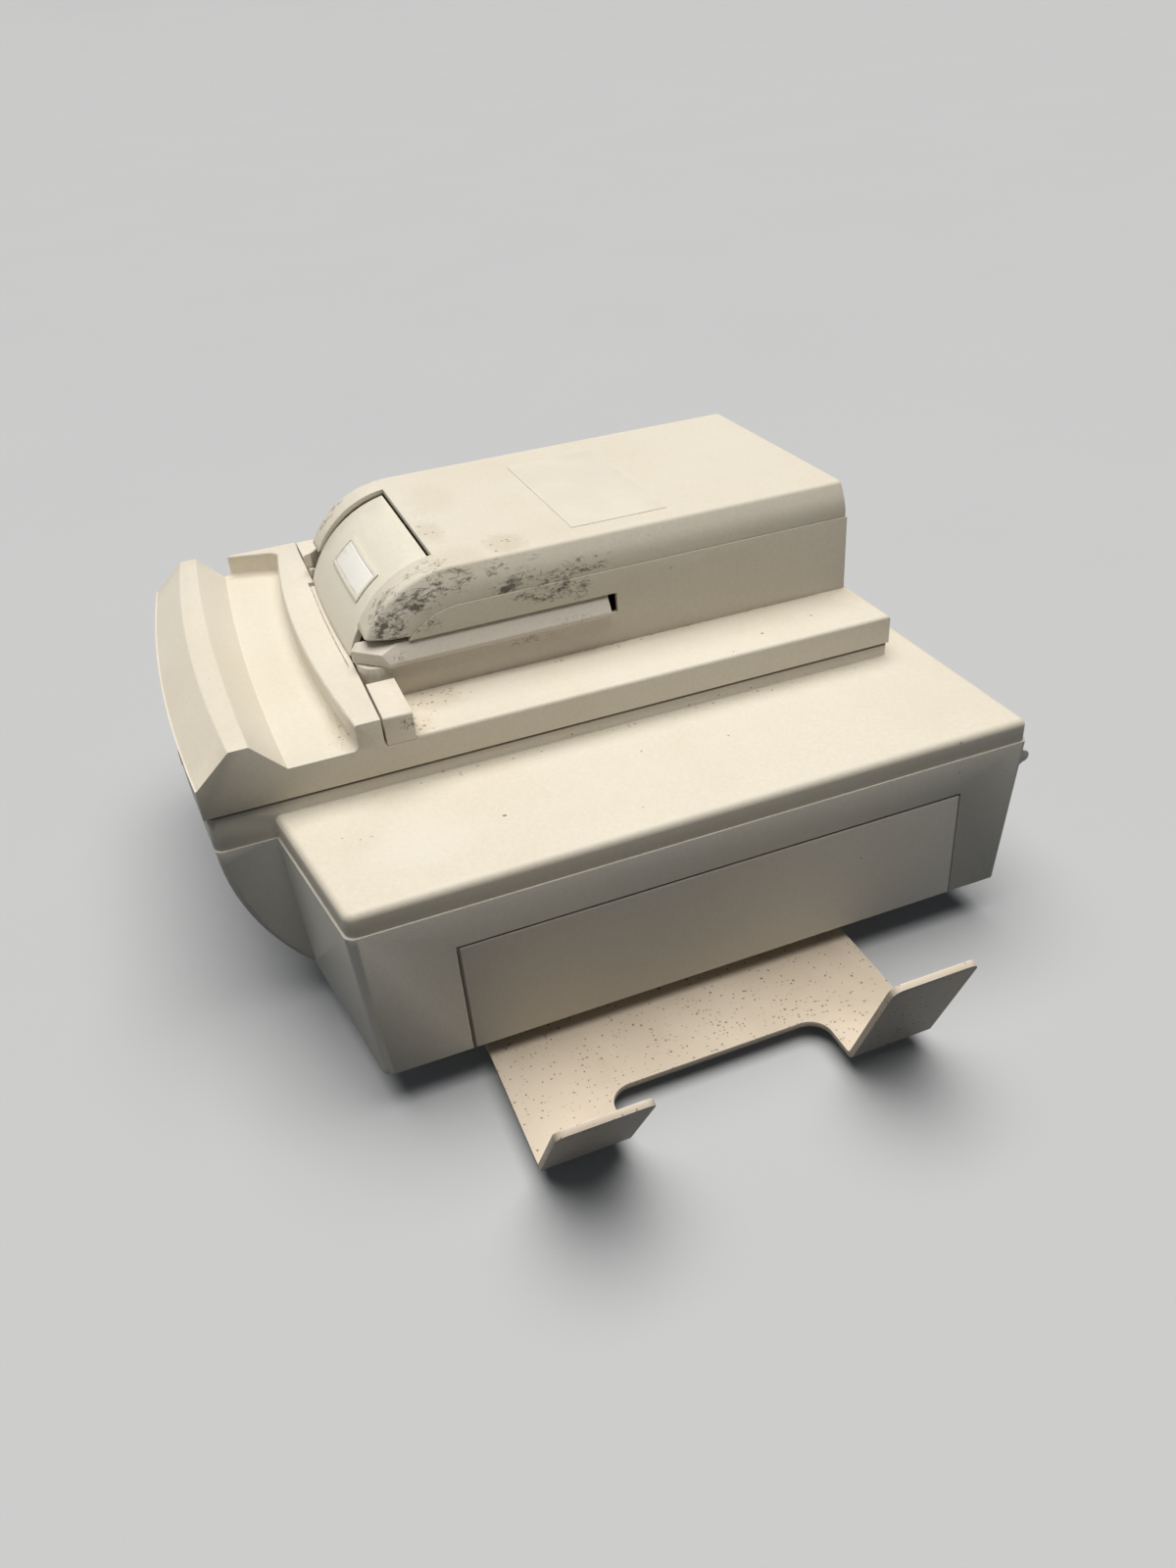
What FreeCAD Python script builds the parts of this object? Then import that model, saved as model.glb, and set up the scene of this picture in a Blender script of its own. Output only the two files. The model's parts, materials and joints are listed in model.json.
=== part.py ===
import FreeCAD, Part
import math
import os
from types import SimpleNamespace

import Sketcher
from FreeCAD import Placement, Rotation, Vector

# A docking station for a bedside monitor. The frame is centred on the base's
# bolt pattern, on the moulded base face: +Y runs to the rear, +X to the side
# wing and +Z up. All lengths are millimetres, all angles degrees.

SIZES = {
    # Lower tub: main box with a round belly, and a side wing
    "wall": 2.5,
    "seam_level": 76.0,
    "main_half": 101.7,
    "belly_radius": 100.0,
    "belly_centre": 59.5,
    "belly_round": 3.0,
    "rear_reach": 159.0,
    "rear_draft": 7.9,
    "wing_outer": 176.1,
    "wing_floor": 8.3,
    "wing_front_inner": 135.7,
    "wing_front_outer": 123.0,
    "wing_draft": 2.3,
    "corner_round": 4.5,
    "rear_corner": 2.5,
    # Upper cover
    "lid_rise": 9.9,
    "band_height": 16.5,
    "rim_ledge": 0.7,
    "lid_round": 3.2,
    "shadow_gap": 0.8,
    "shadow_depth": 1.2,
    "cable_pass_half": 48.0,
    "cable_pass_front": 60.0,
    "cable_pass_rear": 118.0,
    # Deck with its front ridge and step
    "deck_overhang": 0.5,
    "deck_thick": 13.0,
    "deck_skin": 3.0,
    "deck_front": 160.0,
    "deck_bow": 5.5,
    "deck_rear_inset": 19.0,
    "deck_round": 1.6,
    "ridge_inset": 0.6,
    "ridge_height": 13.0,
    "ridge_front_run": 14.6,
    "ridge_crest": 7.6,
    "ridge_back_run": 12.0,
    "ridge_back_bow": 3.4,
    "ridge_round": 1.4,
    "step_height": 11.1,
    "step_front": 97.5,
    "step_bow": 7.1,
    "step_back": 87.4,
    "step_round": 1.2,
    "groove_place": 90.1,
    "groove_bow": 0.8,
    "groove_width": 0.8,
    "groove_depth": 1.0,
    "groove_left": 40.0,
    "groove_right": 53.0,
    "notch_width": 4.8,
    "notch_depth": 2.0,
    "wedge_front": 122.0,
    "wedge_width": 7.7,
    "wedge_round": 6.0,
    "trough_round": 2.4,
    # Guide blocks beside the saddle
    "block_gap": 4.1,
    "block_length": 11.7,
    "block_sink": 1.2,
    "block_seam": 0.3,
    # Saddle: side wall below, crowned cover above
    "hump_half": 66.9,
    "hump_front": 86.7,
    "hump_rear_inset": 2.0,
    "hump_height": 49.3,
    "hump_corner": 8.5,
    "hump_inner_round": 7.5,
    "hump_slant_reach": 5.5,
    "hump_slant_drop": 9.5,
    "hump_crease_round": 3.0,
    "hump_side_round": 18.0,
    "hump_rear_round": 1.2,
    "crown_radius": 46.0,
    "crown_start": 41.6,
    "skirt_depth": 15.0,
    "skirt_lift": 1.7,
    "skirt_ledge": 0.3,
    # Release flap and its pivot rod
    "flap_half": 44.6,
    "flap_gap": 1.0,
    "flap_thick": 2.6,
    "flap_radius": 52.5,
    "flap_bow": 1.3,
    "flap_foot_reach": 88.7,
    "flap_foot_rise": 11.9,
    "flap_top_reach": 47.4,
    "flap_top_rise": 46.7,
    "pivot_reach": 79.0,
    "pivot_rise": 7.5,
    "rod_radius": 2.0,
    "rod_fit": 0.05,
    "barrel_wall": 2.4,
    "ear_inner": 46.0,
    "ear_thick": 5.0,
    "ear_half": 4.6,
    "arm_half": 5.0,
    "arm_bottom": 22.0,
    "arm_height": 4.0,
    "arm_reach": 25.0,
    # Blank nameplate on the flap
    "plate_half": 25.0,
    "plate_place": 6.0,
    "plate_low_angle": 139.4,
    "plate_high_angle": 123.1,
    "plate_rise": 0.75,
    "plate_border": 1.7,
    "inlay_rise": 0.45,
    "plate_film": 0.15,
    # Sliding rails and the latch carriage between them
    "slot_rise": 14.5,
    "slot_height": 8.9,
    "slot_end": 26.0,
    "rail_gap": 0.3,
    "rail_reach": 3.1,
    "rail_inner": 60.0,
    "rail_tip": 88.3,
    "rail_tip_half": 57.2,
    "nose_run": 13.3,
    "nose_inner_run": 17.0,
    "nose_bevel_reach": 3.0,
    "rail_bevel_reach": 4.4,
    "rail_bevel_drop": 6.6,
    "latch_travel": 3.5,
    "post_gap": 0.35,
    "post_half": 8.0,
    "post_thick": 6.0,
    "post_rise": 35.5,
    "bar_front": 40.0,
    "bar_rear": 15.0,
    "bar_thick": 6.0,
    # Return springs
    "spring_place": 30.0,
    "spring_length": 27.0,
    "spring_radius": 3.6,
    "spring_wire": 0.5,
    "spring_turns": 7.0,
    "anchor_half": 45.0,
    "anchor_thick": 7.0,
    "anchor_screw_x": 38.0,
    # Side door and its hinge pin
    "door_front": 86.1,
    "door_rear_inset": 30.3,
    "door_top": 59.4,
    "door_thick": 3.0,
    "door_gap": 0.35,
    "pin_radius": 0.7,
    "pin_fit": 0.05,
    "pin_grip": 6.0,
    "hinge_ear": 2.2,
    # Cable hanger of bent sheet
    "sheet": 2.5,
    "hanger_half": 80.0,
    "hanger_inner": 60.0,
    "bend_place": 230.0,
    "bend_radius": 2.5,
    "hook_length": 55.5,
    "front_hook_angle": 59.0,
    "rear_hook_angle": 67.0,
    "hook_round": 4.0,
    "notch_half": 45.5,
    "notch_edge": 210.6,
    "notch_round": 9.0,
    # Base: bolt pattern, feet and fasteners
    "pattern_pitch": 75.0,
    "insert_bore": 1.65,
    "insert_radius": 2.8,
    "insert_length": 5.4,
    "boss_radius": 5.5,
    "boss_rise": 3.2,
    "hanger_hole": 2.4,
    "hanger_screw_x": 68.0,
    "hanger_screw_shift": 17.0,
    "hanger_screw_y": 60.0,
    "foot_height": 10.0,
    "foot_radius": 9.0,
    "foot_taper": 1.5,
    "foot_inset": 19.7,
    "foot_front_inset": 16.5,
    "foot_rear_inset": 34.0,
    "screw_radius": 1.45,
    "screw_fit": 0.05,
    "screw_pass": 1.8,
    "head_radius": 3.2,
    "head_height": 2.2,
    "post_radius": 5.0,
    "sink_radius": 3.8,
    "case_grip": 16.0,
    "case_bite": 5.0,
    "case_inset": 13.7,
    "case_front": 95.0,
    "case_rear_inset": 17.0,
    "case_wing_inset": 17.1,
    "case_wing_front": 104.0,
    "deck_screw_inset": 16.2,
    "deck_screw_front": 40.0,
    "deck_screw_rear_inset": 50.0,
    "deck_bite": 6.0,
    "hump_post": 6.0,
    "hump_post_sink": 1.5,
    "hump_post_rise": 12.0,
    "hump_screw_front": 62.0,
    "hump_screw_rear_inset": 16.0,
    "hump_bite": 7.0,
    # Inside the tub
    "chassis_inset": 23.7,
    "chassis_front": 84.0,
    "chassis_rear_inset": 37.0,
    "chassis_thick": 1.5,
    "chassis_boss": 3.5,
    "chassis_side_inset": 10.0,
    "chassis_screw_inset": 8.0,
    "chassis_bite": 4.0,
    "standoff_rise": 8.0,
    "standoff_radius": 2.8,
    "board_thick": 1.6,
    "board_left": 14.0,
    "board_right_inset": 29.7,
    "board_front": 70.0,
    "board_rear": 110.0,
    "board_inset": 5.0,
    "supply_inset": 4.0,
    "supply_right": 22.0,
    "supply_front": 60.0,
    "supply_rear": 85.0,
    "supply_height": 38.0,
    "supply_skin": 1.2,
    "vent_count": 7.0,
    "vent_pitch": 14.0,
    "vent_width": 4.0,
    "vent_height": 20.0,
    # Sockets behind the side door, on their own panel
    "panel_thick": 1.5,
    "panel_front": 124.0,
    "panel_rear_inset": 14.0,
    "panel_drop": 0.6,
    "socket_fit": 0.2,
    "flange_thick": 2.0,
    "flange_lap": 3.0,
    "inlet_place": 55.0,
    "inlet_level": 34.0,
    "inlet_half": 14.0,
    "inlet_half_height": 10.0,
    "inlet_depth": 24.0,
    "inlet_skin": 2.0,
    "inlet_well": 18.0,
    "blade_length": 12.0,
    "blade_half": 1.0,
    "blade_half_height": 2.0,
    "blade_pitch": 7.0,
    "jack_place": 85.0,
    "jack_half": 8.0,
    "jack_height": 14.0,
    "jack_skin": 1.6,
    "jack_well": 12.0,
    "serial_place": 5.0,
    "serial_half": 8.5,
    "video_place": 45.0,
    "video_half": 12.5,
    "port_height": 11.0,
    "port_nose": 5.5,
    # Dock connector on the far side of the saddle
    "plug_gap": 4.1,
    "plug_outer_inset": 5.2,
    "plug_rear_inset": 14.0,
    "plug_length": 28.0,
    "plug_rise": 20.0,
    "plug_skin": 2.5,
    "plug_well": 9.0,
    "plug_step_run": 11.0,
    "plug_step_drop": 7.0,
    "tongue_half": 1.2,
    "plug_screw_shift": 6.0,
    "plug_screw_inset": 9.0,
    # Small trim
    "lens_place": 53.0,
    "lens_half": 10.0,
    "lens_bottom": 3.2,
    "lens_height": 6.4,
    "lens_proud": 0.3,
    "lens_depth": 6.0,
    "label_left": 41.0,
    "label_right": 50.0,
    "label_front": 14.0,
    "label_rear": 58.0,
    "label_thick": 0.3,
    "lug_inset": 3.1,
    "lug_width": 9.0,
    "lug_bottom": 60.5,
    "lug_height": 11.0,
    "lug_reach": 5.0,
}

# Faces and edges closer than this count as being in one place
NEAR = 0.01
# A turned piece is made this much wider, then cut flat
SPARE = 1.2
DEGREES = 180 / math.pi

doc = FreeCAD.newDocument("docking_station")
sheet = doc.addObject("Spreadsheet::Sheet", "Sizes")
for row, (alias, number) in enumerate(SIZES.items(), start=1):
    sheet.set(f"A{row}", alias)
    sheet.set(f"B{row}", str(number))
    sheet.setAlias(f"B{row}", alias)
doc.recompute()


class Dim:
    # A length as a number, kept together with the sheet expression that gives it

    def __init__(self, value, text):
        self.value = value
        self.text = text

    def __add__(self, other):
        other = dim(other)
        return Dim(self.value + other.value, f"({self.text} + {other.text})")

    def __sub__(self, other):
        other = dim(other)
        return Dim(self.value - other.value, f"({self.text} - {other.text})")

    def __rsub__(self, other):
        return dim(other) - self

    def __mul__(self, other):
        other = dim(other)
        return Dim(self.value * other.value, f"({self.text} * {other.text})")

    def __truediv__(self, other):
        other = dim(other)
        return Dim(self.value / other.value, f"({self.text} / {other.text})")

    def __neg__(self):
        return self * -1

    __radd__ = __add__
    __rmul__ = __mul__


def dim(item):
    if isinstance(item, Dim):
        return item
    return Dim(float(item), f"({float(item)})")


def root(item):
    return Dim(math.sqrt(item.value), f"sqrt({item.text})")


def cosine(angle):
    angle = dim(angle)
    return Dim(math.cos(math.radians(angle.value)), f"cos({angle.text})")


def sine(angle):
    angle = dim(angle)
    return Dim(math.sin(math.radians(angle.value)), f"sin({angle.text})")


def point(*numbers):
    return Vector(*[dim(number).value for number in numbers])


size = SimpleNamespace(**{name: Dim(number, f"Sizes.{name}") for name, number in SIZES.items()})
pieces = []


def keep(piece, label):
    piece.Label = label
    pieces.append(piece)
    return piece


# Sketches and features

def new_body(label):
    return keep(doc.addObject("PartDesign::Body", label), label)


def new_sketch(body, role, offset=0, shift=0):
    sketch = body.newObject("Sketcher::SketchObject", f"{body.Name}_outline")
    origin_plane = next(item for item in body.Origin.OriginFeatures if item.Role == role)
    sketch.AttachmentSupport = [(origin_plane, "")]
    sketch.MapMode = "FlatFace"
    # The XZ plane faces -Y, so a place along +Y is a negative offset
    along = -dim(offset) if role == "XZ_Plane" else dim(offset)
    sketch.setExpression("AttachmentOffset.Base.x", dim(shift).text)
    sketch.setExpression("AttachmentOffset.Base.z", along.text)
    return sketch


def bind(sketch, kind, geometry, corner, length):
    length = dim(length)
    if kind == "Radius":
        rule = Sketcher.Constraint(kind, geometry, length.value)
    else:
        rule = Sketcher.Constraint(kind, -1, 1, geometry, corner, length.value)
    index = sketch.addConstraint(rule)
    if "Sizes" in length.text:
        sketch.setExpression(f"Constraints[{index}]", length.text)


def arc_curve(start, end, radius):
    # A positive radius turns left on the way from start to end, a negative one right
    chord = end - start
    left = Vector(-chord.y, chord.x, 0).normalize()
    rise = math.sqrt(max(radius ** 2 - (chord.Length / 2) ** 2, 0))
    centre = (start + end) / 2 + left * math.copysign(rise, radius)
    first, last = (start, end) if radius > 0 else (end, start)
    angles = [math.atan2(tip.y - centre.y, tip.x - centre.x) for tip in (first, last)]
    if angles[1] < angles[0]:
        angles[1] += 2 * math.pi
    circle = Part.Circle(centre, Vector(0, 0, 1), abs(radius))
    return Part.ArcOfCircle(circle, *angles)


def outline(sketch, corners):
    # A corner is (x, y), reached by a straight run, or (x, y, radius), reached by an arc
    places = [point(corner[0], corner[1], 0) for corner in corners]
    ends = []
    for number, corner in enumerate(corners):
        start, end = places[number - 1], places[number]
        turns_right = False
        if len(corner) == 3:
            turns_right = dim(corner[2]).value < 0
            geometry = sketch.addGeometry(arc_curve(start, end, dim(corner[2]).value), False)
            bind(sketch, "Radius", geometry, 0, -dim(corner[2]) if turns_right else corner[2])
        else:
            geometry = sketch.addGeometry(Part.LineSegment(start, end), False)
        ends.append((geometry, 2, 1) if turns_right else (geometry, 1, 2))
    for number, corner in enumerate(corners):
        geometry, finish = ends[number][0], ends[number][2]
        follower = ends[(number + 1) % len(ends)]
        sketch.addConstraint(Sketcher.Constraint("Coincident", geometry, finish, *follower[:2]))
        bind(sketch, "DistanceX", geometry, finish, corner[0])
        bind(sketch, "DistanceY", geometry, finish, corner[1])
    return sketch


def rectangle(sketch, left, right, low, high):
    return outline(sketch, [(left, low), (right, low), (right, high), (left, high)])


def circles(sketch, centres, radius):
    for centre in centres:
        curve = Part.Circle(point(*centre, 0), Vector(0, 0, 1), dim(radius).value)
        geometry = sketch.addGeometry(curve, False)
        bind(sketch, "Radius", geometry, 0, radius)
        bind(sketch, "DistanceX", geometry, 3, centre[0])
        bind(sketch, "DistanceY", geometry, 3, centre[1])
    return sketch


def pad(body, sketch, length):
    feature = body.newObject("PartDesign::Pad", f"{body.Name}_pad")
    feature.Profile = sketch
    feature.setExpression("Length", dim(length).text)
    doc.recompute()
    return feature


def pocket(body, sketch, depth):
    # Cuts along the sketch's normal, towards +X, +Z or -Y
    before = body.Tip.Shape.Volume
    feature = body.newObject("PartDesign::Pocket", f"{body.Name}_pocket")
    feature.Profile = sketch
    feature.setExpression("Length", dim(depth).text)
    feature.Reversed = True
    doc.recompute()
    if not feature.Shape.Volume < before:
        raise RuntimeError(f"{feature.Name} in {body.Label} cuts nothing")
    return feature


def turn(body, corners, axis, half):
    # Turns a profile of the YZ plane about an upright axis behind it, a little wider than its half width
    profile = outline(new_sketch(body, "YZ_Plane", 0, axis),
                      [(corner[0] - axis, *corner[1:]) for corner in corners])
    feature = body.newObject("PartDesign::Revolution", f"{body.Name}_turn")
    feature.Profile = profile
    feature.ReferenceAxis = (profile, ["V_Axis"])
    feature.Midplane = True
    feature.setExpression("Angle", (2 * SPARE * half / (axis - corners[0][0]) * DEGREES).text)
    doc.recompute()
    return feature


def trim_sides(body, left, right, spare, along, upright):
    # Cuts a turned piece flat at two places along X
    for start in (left - spare, right):
        pocket(body, rectangle(new_sketch(body, "YZ_Plane", start), *along, *upright), spare)


def loft(body, sketches, kind="AdditiveLoft", ruled=True):
    feature = body.newObject(f"PartDesign::{kind}", f"{body.Name}_loft")
    feature.Profile = sketches[0]
    feature.Sections = sketches[1:]
    feature.Ruled = ruled
    doc.recompute()
    return feature


def dress(body, kind, places, length):
    # Fillets or chamfers the edge that runs nearest to each given place
    base = body.Tip
    names = []
    for place in places:
        spot = Part.Vertex(place)
        gaps = [edge.distToShape(spot)[0] for edge in base.Shape.Edges]
        names.append(f"Edge{gaps.index(min(gaps)) + 1}")
    feature = body.newObject(f"PartDesign::{kind}", f"{body.Name}_{kind.lower()}")
    feature.Base = (base, sorted(set(names)))
    feature.setExpression("Radius" if kind == "Fillet" else "Size", dim(length).text)
    doc.recompute()
    return feature


def bevel(body, side, place, drop, reach):
    # A chamfer that goes drop down the outer face and reach in over the level top
    feature = dress(body, "Chamfer", [place], drop)
    feature.ChamferType = "Two distances"
    feature.setExpression("Size2", dim(reach).text)
    doc.recompute()
    tops = [face.BoundBox for face in feature.Shape.Faces if face.BoundBox.ZMin > place.z - NEAR]
    edge = max(max(side * limit.XMin, side * limit.XMax) for limit in tops)
    if abs(side * place.x - dim(reach).value - edge) > NEAR:
        feature.FlipDirection = True
        doc.recompute()
    return feature


# Primitives and booleans

def place_at(piece, x, y, z):
    for axis, number in zip("xyz", (x, y, z)):
        piece.setExpression(f"Placement.Base.{axis}", dim(number).text)


def box(name, across, along, upright):
    piece = doc.addObject("Part::Box", name)
    for side, (low, high) in zip(("Length", "Width", "Height"), (across, along, upright)):
        piece.setExpression(side, (dim(high) - low).text)
    place_at(piece, across[0], along[0], upright[0])
    return piece


TURN_TO = {"+Z": Rotation(), "-Z": Rotation(Vector(1, 0, 0), 180),
           "+X": Rotation(Vector(0, 1, 0), 90), "+Y": Rotation(Vector(1, 0, 0), -90)}


def rod(name, radius, length, start, towards="+Z"):
    piece = doc.addObject("Part::Cylinder", name)
    piece.Placement = Placement(Vector(), TURN_TO[towards])
    piece.setExpression("Radius", dim(radius).text)
    piece.setExpression("Height", dim(length).text)
    place_at(piece, *start)
    return piece


def fuse(name, shapes):
    piece = doc.addObject("Part::MultiFuse", name)
    piece.Shapes = shapes
    return piece


def cut(name, base, tools):
    piece = doc.addObject("Part::Cut", name)
    piece.Base = base
    piece.Tool = tools[0] if len(tools) == 1 else fuse(f"{name}_tools", tools)
    return piece


def group(label, solids):
    piece = doc.addObject("Part::Compound", label)
    piece.Links = solids
    return keep(piece, label)


def screws(label, places, head_level, length, towards):
    # Pan-head screws: the head sits on head_level and the shank runs the given way
    solids = []
    away = {"+Z": "-Z", "-Z": "+Z"}[towards]
    for x, y in places:
        start = (x, y, head_level)
        head = rod(f"{label}_head", size.head_radius, size.head_height, start, away)
        shank = rod(f"{label}_shank", size.screw_radius, length, start, towards)
        solids.append(fuse(f"{label}_one", [head, shank]))
    return group(label, solids)


def both_ways(x, *rows):
    return [(side * x, y) for side in (-1, 1) for y in rows]


# Levels and shared places

deck_half = size.main_half + size.deck_overhang
deck_rear = size.rear_reach - size.deck_rear_inset
hump_rear = deck_rear - size.hump_rear_inset
door_rear = size.rear_reach - size.door_rear_inset
block_inner = size.hump_half + size.block_gap
plug_inner = size.hump_half + size.plug_gap
plug_outer = deck_half - size.plug_outer_inset
plug_rear = deck_rear - size.plug_rear_inset
plug_front = plug_rear - size.plug_length
case_x = size.main_half - size.case_inset
case_rear = size.rear_reach - size.case_rear_inset
case_wing_x = size.wing_outer - size.case_wing_inset
deck_screw_x = deck_half - size.deck_screw_inset
chassis_half = size.main_half - size.chassis_inset
chassis_rear = size.rear_reach - size.chassis_rear_inset
supply_left = chassis_half - size.supply_inset
board_right = size.main_half - size.board_right_inset
panel_rear = size.rear_reach - size.panel_rear_inset
cover_top = size.seam_level + size.lid_rise
deck_base = size.seam_level + size.band_height
deck_top = deck_base + size.deck_thick
step_top = deck_top + size.step_height
hump_top = deck_top + size.hump_height
part_level = hump_top - size.skirt_depth
slot_base = deck_top + size.slot_rise
slot_top = slot_base + size.slot_height
crown_level = hump_top - size.crown_radius
pivot = (-size.pivot_reach, deck_top + size.pivot_rise)
belly_foot = -size.belly_centre - root(size.belly_radius * size.belly_radius
                                       - size.seam_level * size.seam_level)
foot_x = size.main_half - size.foot_inset
foot_front = -belly_foot - size.foot_front_inset
foot_rear = size.rear_reach - size.foot_rear_inset
chassis_base = size.wall + size.chassis_boss
chassis_top = chassis_base + size.chassis_thick
board_base = chassis_top + size.standoff_rise
board_top = board_base + size.board_thick
hinge_x = size.wing_outer - size.door_thick / 2
hinge_z = size.door_top - size.door_gap - size.door_thick / 2
cover_half = size.main_half - size.rim_ledge
cover_outer = size.wing_outer - size.rim_ledge
cover_rear = size.rear_reach - size.rim_ledge

pattern_places = both_ways(size.pattern_pitch / 2, -size.pattern_pitch / 2, size.pattern_pitch / 2)
hanger_places = [(size.hanger_screw_shift + side * size.hanger_screw_x, row * size.hanger_screw_y)
                 for side in (-1, 1) for row in (-1, 1)]
main_case_places = both_ways(case_x, -size.case_front, case_rear)
wing_case_places = [(case_wing_x, -size.case_wing_front), (case_wing_x, case_rear)]
deck_case_places = both_ways(case_x, -size.case_front)
lid_case_places = both_ways(case_x, case_rear) + wing_case_places
deck_places = both_ways(deck_screw_x, -size.deck_screw_front, deck_rear - size.deck_screw_rear_inset)
hump_screw_x = size.hump_half - size.wall - size.hump_post + size.hump_post_sink
hump_places = both_ways(hump_screw_x, -size.hump_screw_front, hump_rear - size.hump_screw_rear_inset)
anchor_front = size.spring_length - size.bar_rear
anchor_places = both_ways(size.anchor_screw_x, anchor_front + size.anchor_thick / 2)
plug_middle = -(plug_inner + plug_outer) / 2
plug_places = [(plug_middle + side * size.plug_screw_shift, plug_rear - size.plug_screw_inset)
               for side in (-1, 1)]
saddle_places = hump_places + anchor_places + plug_places
block_places = both_ways((block_inner + deck_half) / 2,
                         -size.hump_front + size.block_seam + size.block_length / 2)
chassis_places = both_ways(chassis_half - size.chassis_side_inset,
                           -size.chassis_front + size.chassis_screw_inset,
                           chassis_rear - size.chassis_screw_inset)
board_places = [(x, y) for x in (size.board_inset - size.board_left,
                                 board_right - size.board_inset)
                for y in (size.board_inset - size.board_front,
                          size.board_rear - size.board_inset)]


# Lower tub

def wing_plan(body, level, inset, front_draft, rear_draft, inner):
    slant = (size.wing_front_inner - size.wing_front_outer) / (size.wing_outer - size.main_half)
    outer = size.wing_outer - inset
    front_outer = -size.wing_front_outer + front_draft + inset * slant + inset
    front_inner = front_outer - slant * (outer - inner)
    rear = size.rear_reach - rear_draft - inset
    sketch = new_sketch(body, "XY_Plane", level)
    return outline(sketch, [(inner, front_inner), (outer, front_outer), (outer, rear), (inner, rear)])


def main_profile(body, place, inset):
    front = -size.belly_centre - size.belly_radius + inset
    radius = size.belly_radius - inset
    foot = belly_foot
    if isinstance(inset, Dim):
        foot = -size.belly_centre - root(radius * radius - (size.seam_level - inset)
                                         * (size.seam_level - inset))
    return outline(new_sketch(body, "YZ_Plane", place), [
        (front, size.seam_level),
        (foot, inset, radius),
        (size.rear_reach - size.rear_draft - inset, inset),
        (size.rear_reach - inset, size.seam_level)])


def socket_windows():
    # Cut-outs of the panel: (middle along Y, half width, bottom, top)
    lap = size.socket_fit
    return [
        (-size.inlet_place, size.inlet_half + lap,
         size.inlet_level - size.inlet_half_height - lap,
         size.inlet_level + size.inlet_half_height + lap),
        (size.jack_place, size.jack_half + lap, board_top - lap, board_top + size.jack_height + lap),
        (size.serial_place, size.serial_half + lap, board_top - lap, board_top + size.port_height + lap),
        (size.video_place, size.video_half + lap, board_top - lap, board_top + size.port_height + lap)]


def lower_tub():
    body = new_body("lower_tub")
    inner_half = size.main_half - size.wall
    pad(body, main_profile(body, -size.main_half, 0), 2 * size.main_half)
    dress(body, "Fillet", [point(side * size.main_half, -size.belly_centre - 0.7 * size.belly_radius,
                                 size.seam_level - 0.7 * size.belly_radius) for side in (-1, 1)],
          size.belly_round)
    loft(body, [wing_plan(body, size.seam_level, 0, 0, 0, inner_half),
                wing_plan(body, size.wing_floor, 0, size.wing_draft, size.rear_draft
                          * (size.seam_level - size.wing_floor) / size.seam_level, inner_half)])
    middle = (size.seam_level + size.wing_floor) / 2
    dress(body, "Fillet", [point(size.wing_outer, -size.wing_front_outer, middle)], size.corner_round)
    dress(body, "Fillet", [point(size.wing_outer, size.rear_reach, middle),
                           point(-size.main_half, size.rear_reach, middle)], size.rear_corner)
    pocket(body, main_profile(body, -inner_half, size.wall), 2 * inner_half)
    floor = size.wing_floor + size.wall
    loft(body, [wing_plan(body, size.seam_level, size.wall, 0, 0, size.main_half),
                wing_plan(body, floor, size.wall, size.wing_draft, size.rear_draft
                          * (size.seam_level - floor) / size.seam_level, size.main_half)],
         "SubtractiveLoft")
    # Ears that hold the hinge pin at both ends of the door
    ear_in = size.wing_outer - size.wall - size.hinge_ear
    for start in (-size.door_front - size.pin_grip, door_rear):
        sketch = rectangle(new_sketch(body, "XZ_Plane", start + size.pin_grip), ear_in,
                           size.wing_outer - size.wall / 2, hinge_z - size.door_thick,
                           hinge_z + size.door_thick)
        pad(body, sketch, size.pin_grip)
    door = rectangle(new_sketch(body, "YZ_Plane", size.wing_outer - size.door_thick - size.door_gap),
                     -size.door_front, door_rear, 0, size.door_top)
    pocket(body, door, size.door_thick + size.door_gap)
    bores = circles(new_sketch(body, "XZ_Plane", door_rear + size.pin_grip),
                    [(hinge_x, hinge_z)], size.pin_radius + size.pin_fit)
    pocket(body, bores, size.door_front + door_rear + 2 * size.pin_grip)
    panel_room = rectangle(new_sketch(body, "YZ_Plane", inner_half), -size.panel_front, panel_rear, floor,
                           size.seam_level)
    pocket(body, panel_room, size.wall)
    # Screw posts, low bosses and their holes
    case_posts = circles(new_sketch(body, "XY_Plane", size.wall / 2), main_case_places, size.post_radius)
    pad(body, case_posts, size.seam_level - size.wall / 2)
    wing_posts = circles(new_sketch(body, "XY_Plane", size.wing_floor + size.wall / 2),
                         wing_case_places, size.post_radius)
    pad(body, wing_posts, size.seam_level - size.wing_floor - size.wall / 2)
    all_posts = main_case_places + wing_case_places
    pocket(body, circles(new_sketch(body, "XY_Plane"), all_posts, size.sink_radius),
           size.seam_level - size.case_grip)
    pocket(body, circles(new_sketch(body, "XY_Plane", size.wall), all_posts, size.screw_pass),
           size.seam_level)
    low_bosses = circles(new_sketch(body, "XY_Plane", size.wall / 2), pattern_places + hanger_places,
                         size.boss_radius)
    pad(body, low_bosses, size.boss_rise + size.wall / 2)
    high_bosses = circles(new_sketch(body, "XY_Plane", size.wall / 2), chassis_places, size.boss_radius)
    pad(body, high_bosses, chassis_base - size.wall / 2)
    pocket(body, circles(new_sketch(body, "XY_Plane"), pattern_places, size.insert_radius),
           size.insert_length)
    thread = size.screw_radius + size.screw_fit
    pocket(body, circles(new_sketch(body, "XY_Plane"), hanger_places, thread), size.insert_length)
    bite = size.chassis_bite + size.screw_fit
    pocket(body, circles(new_sketch(body, "XY_Plane", chassis_base - bite), chassis_places, thread), bite)


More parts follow.
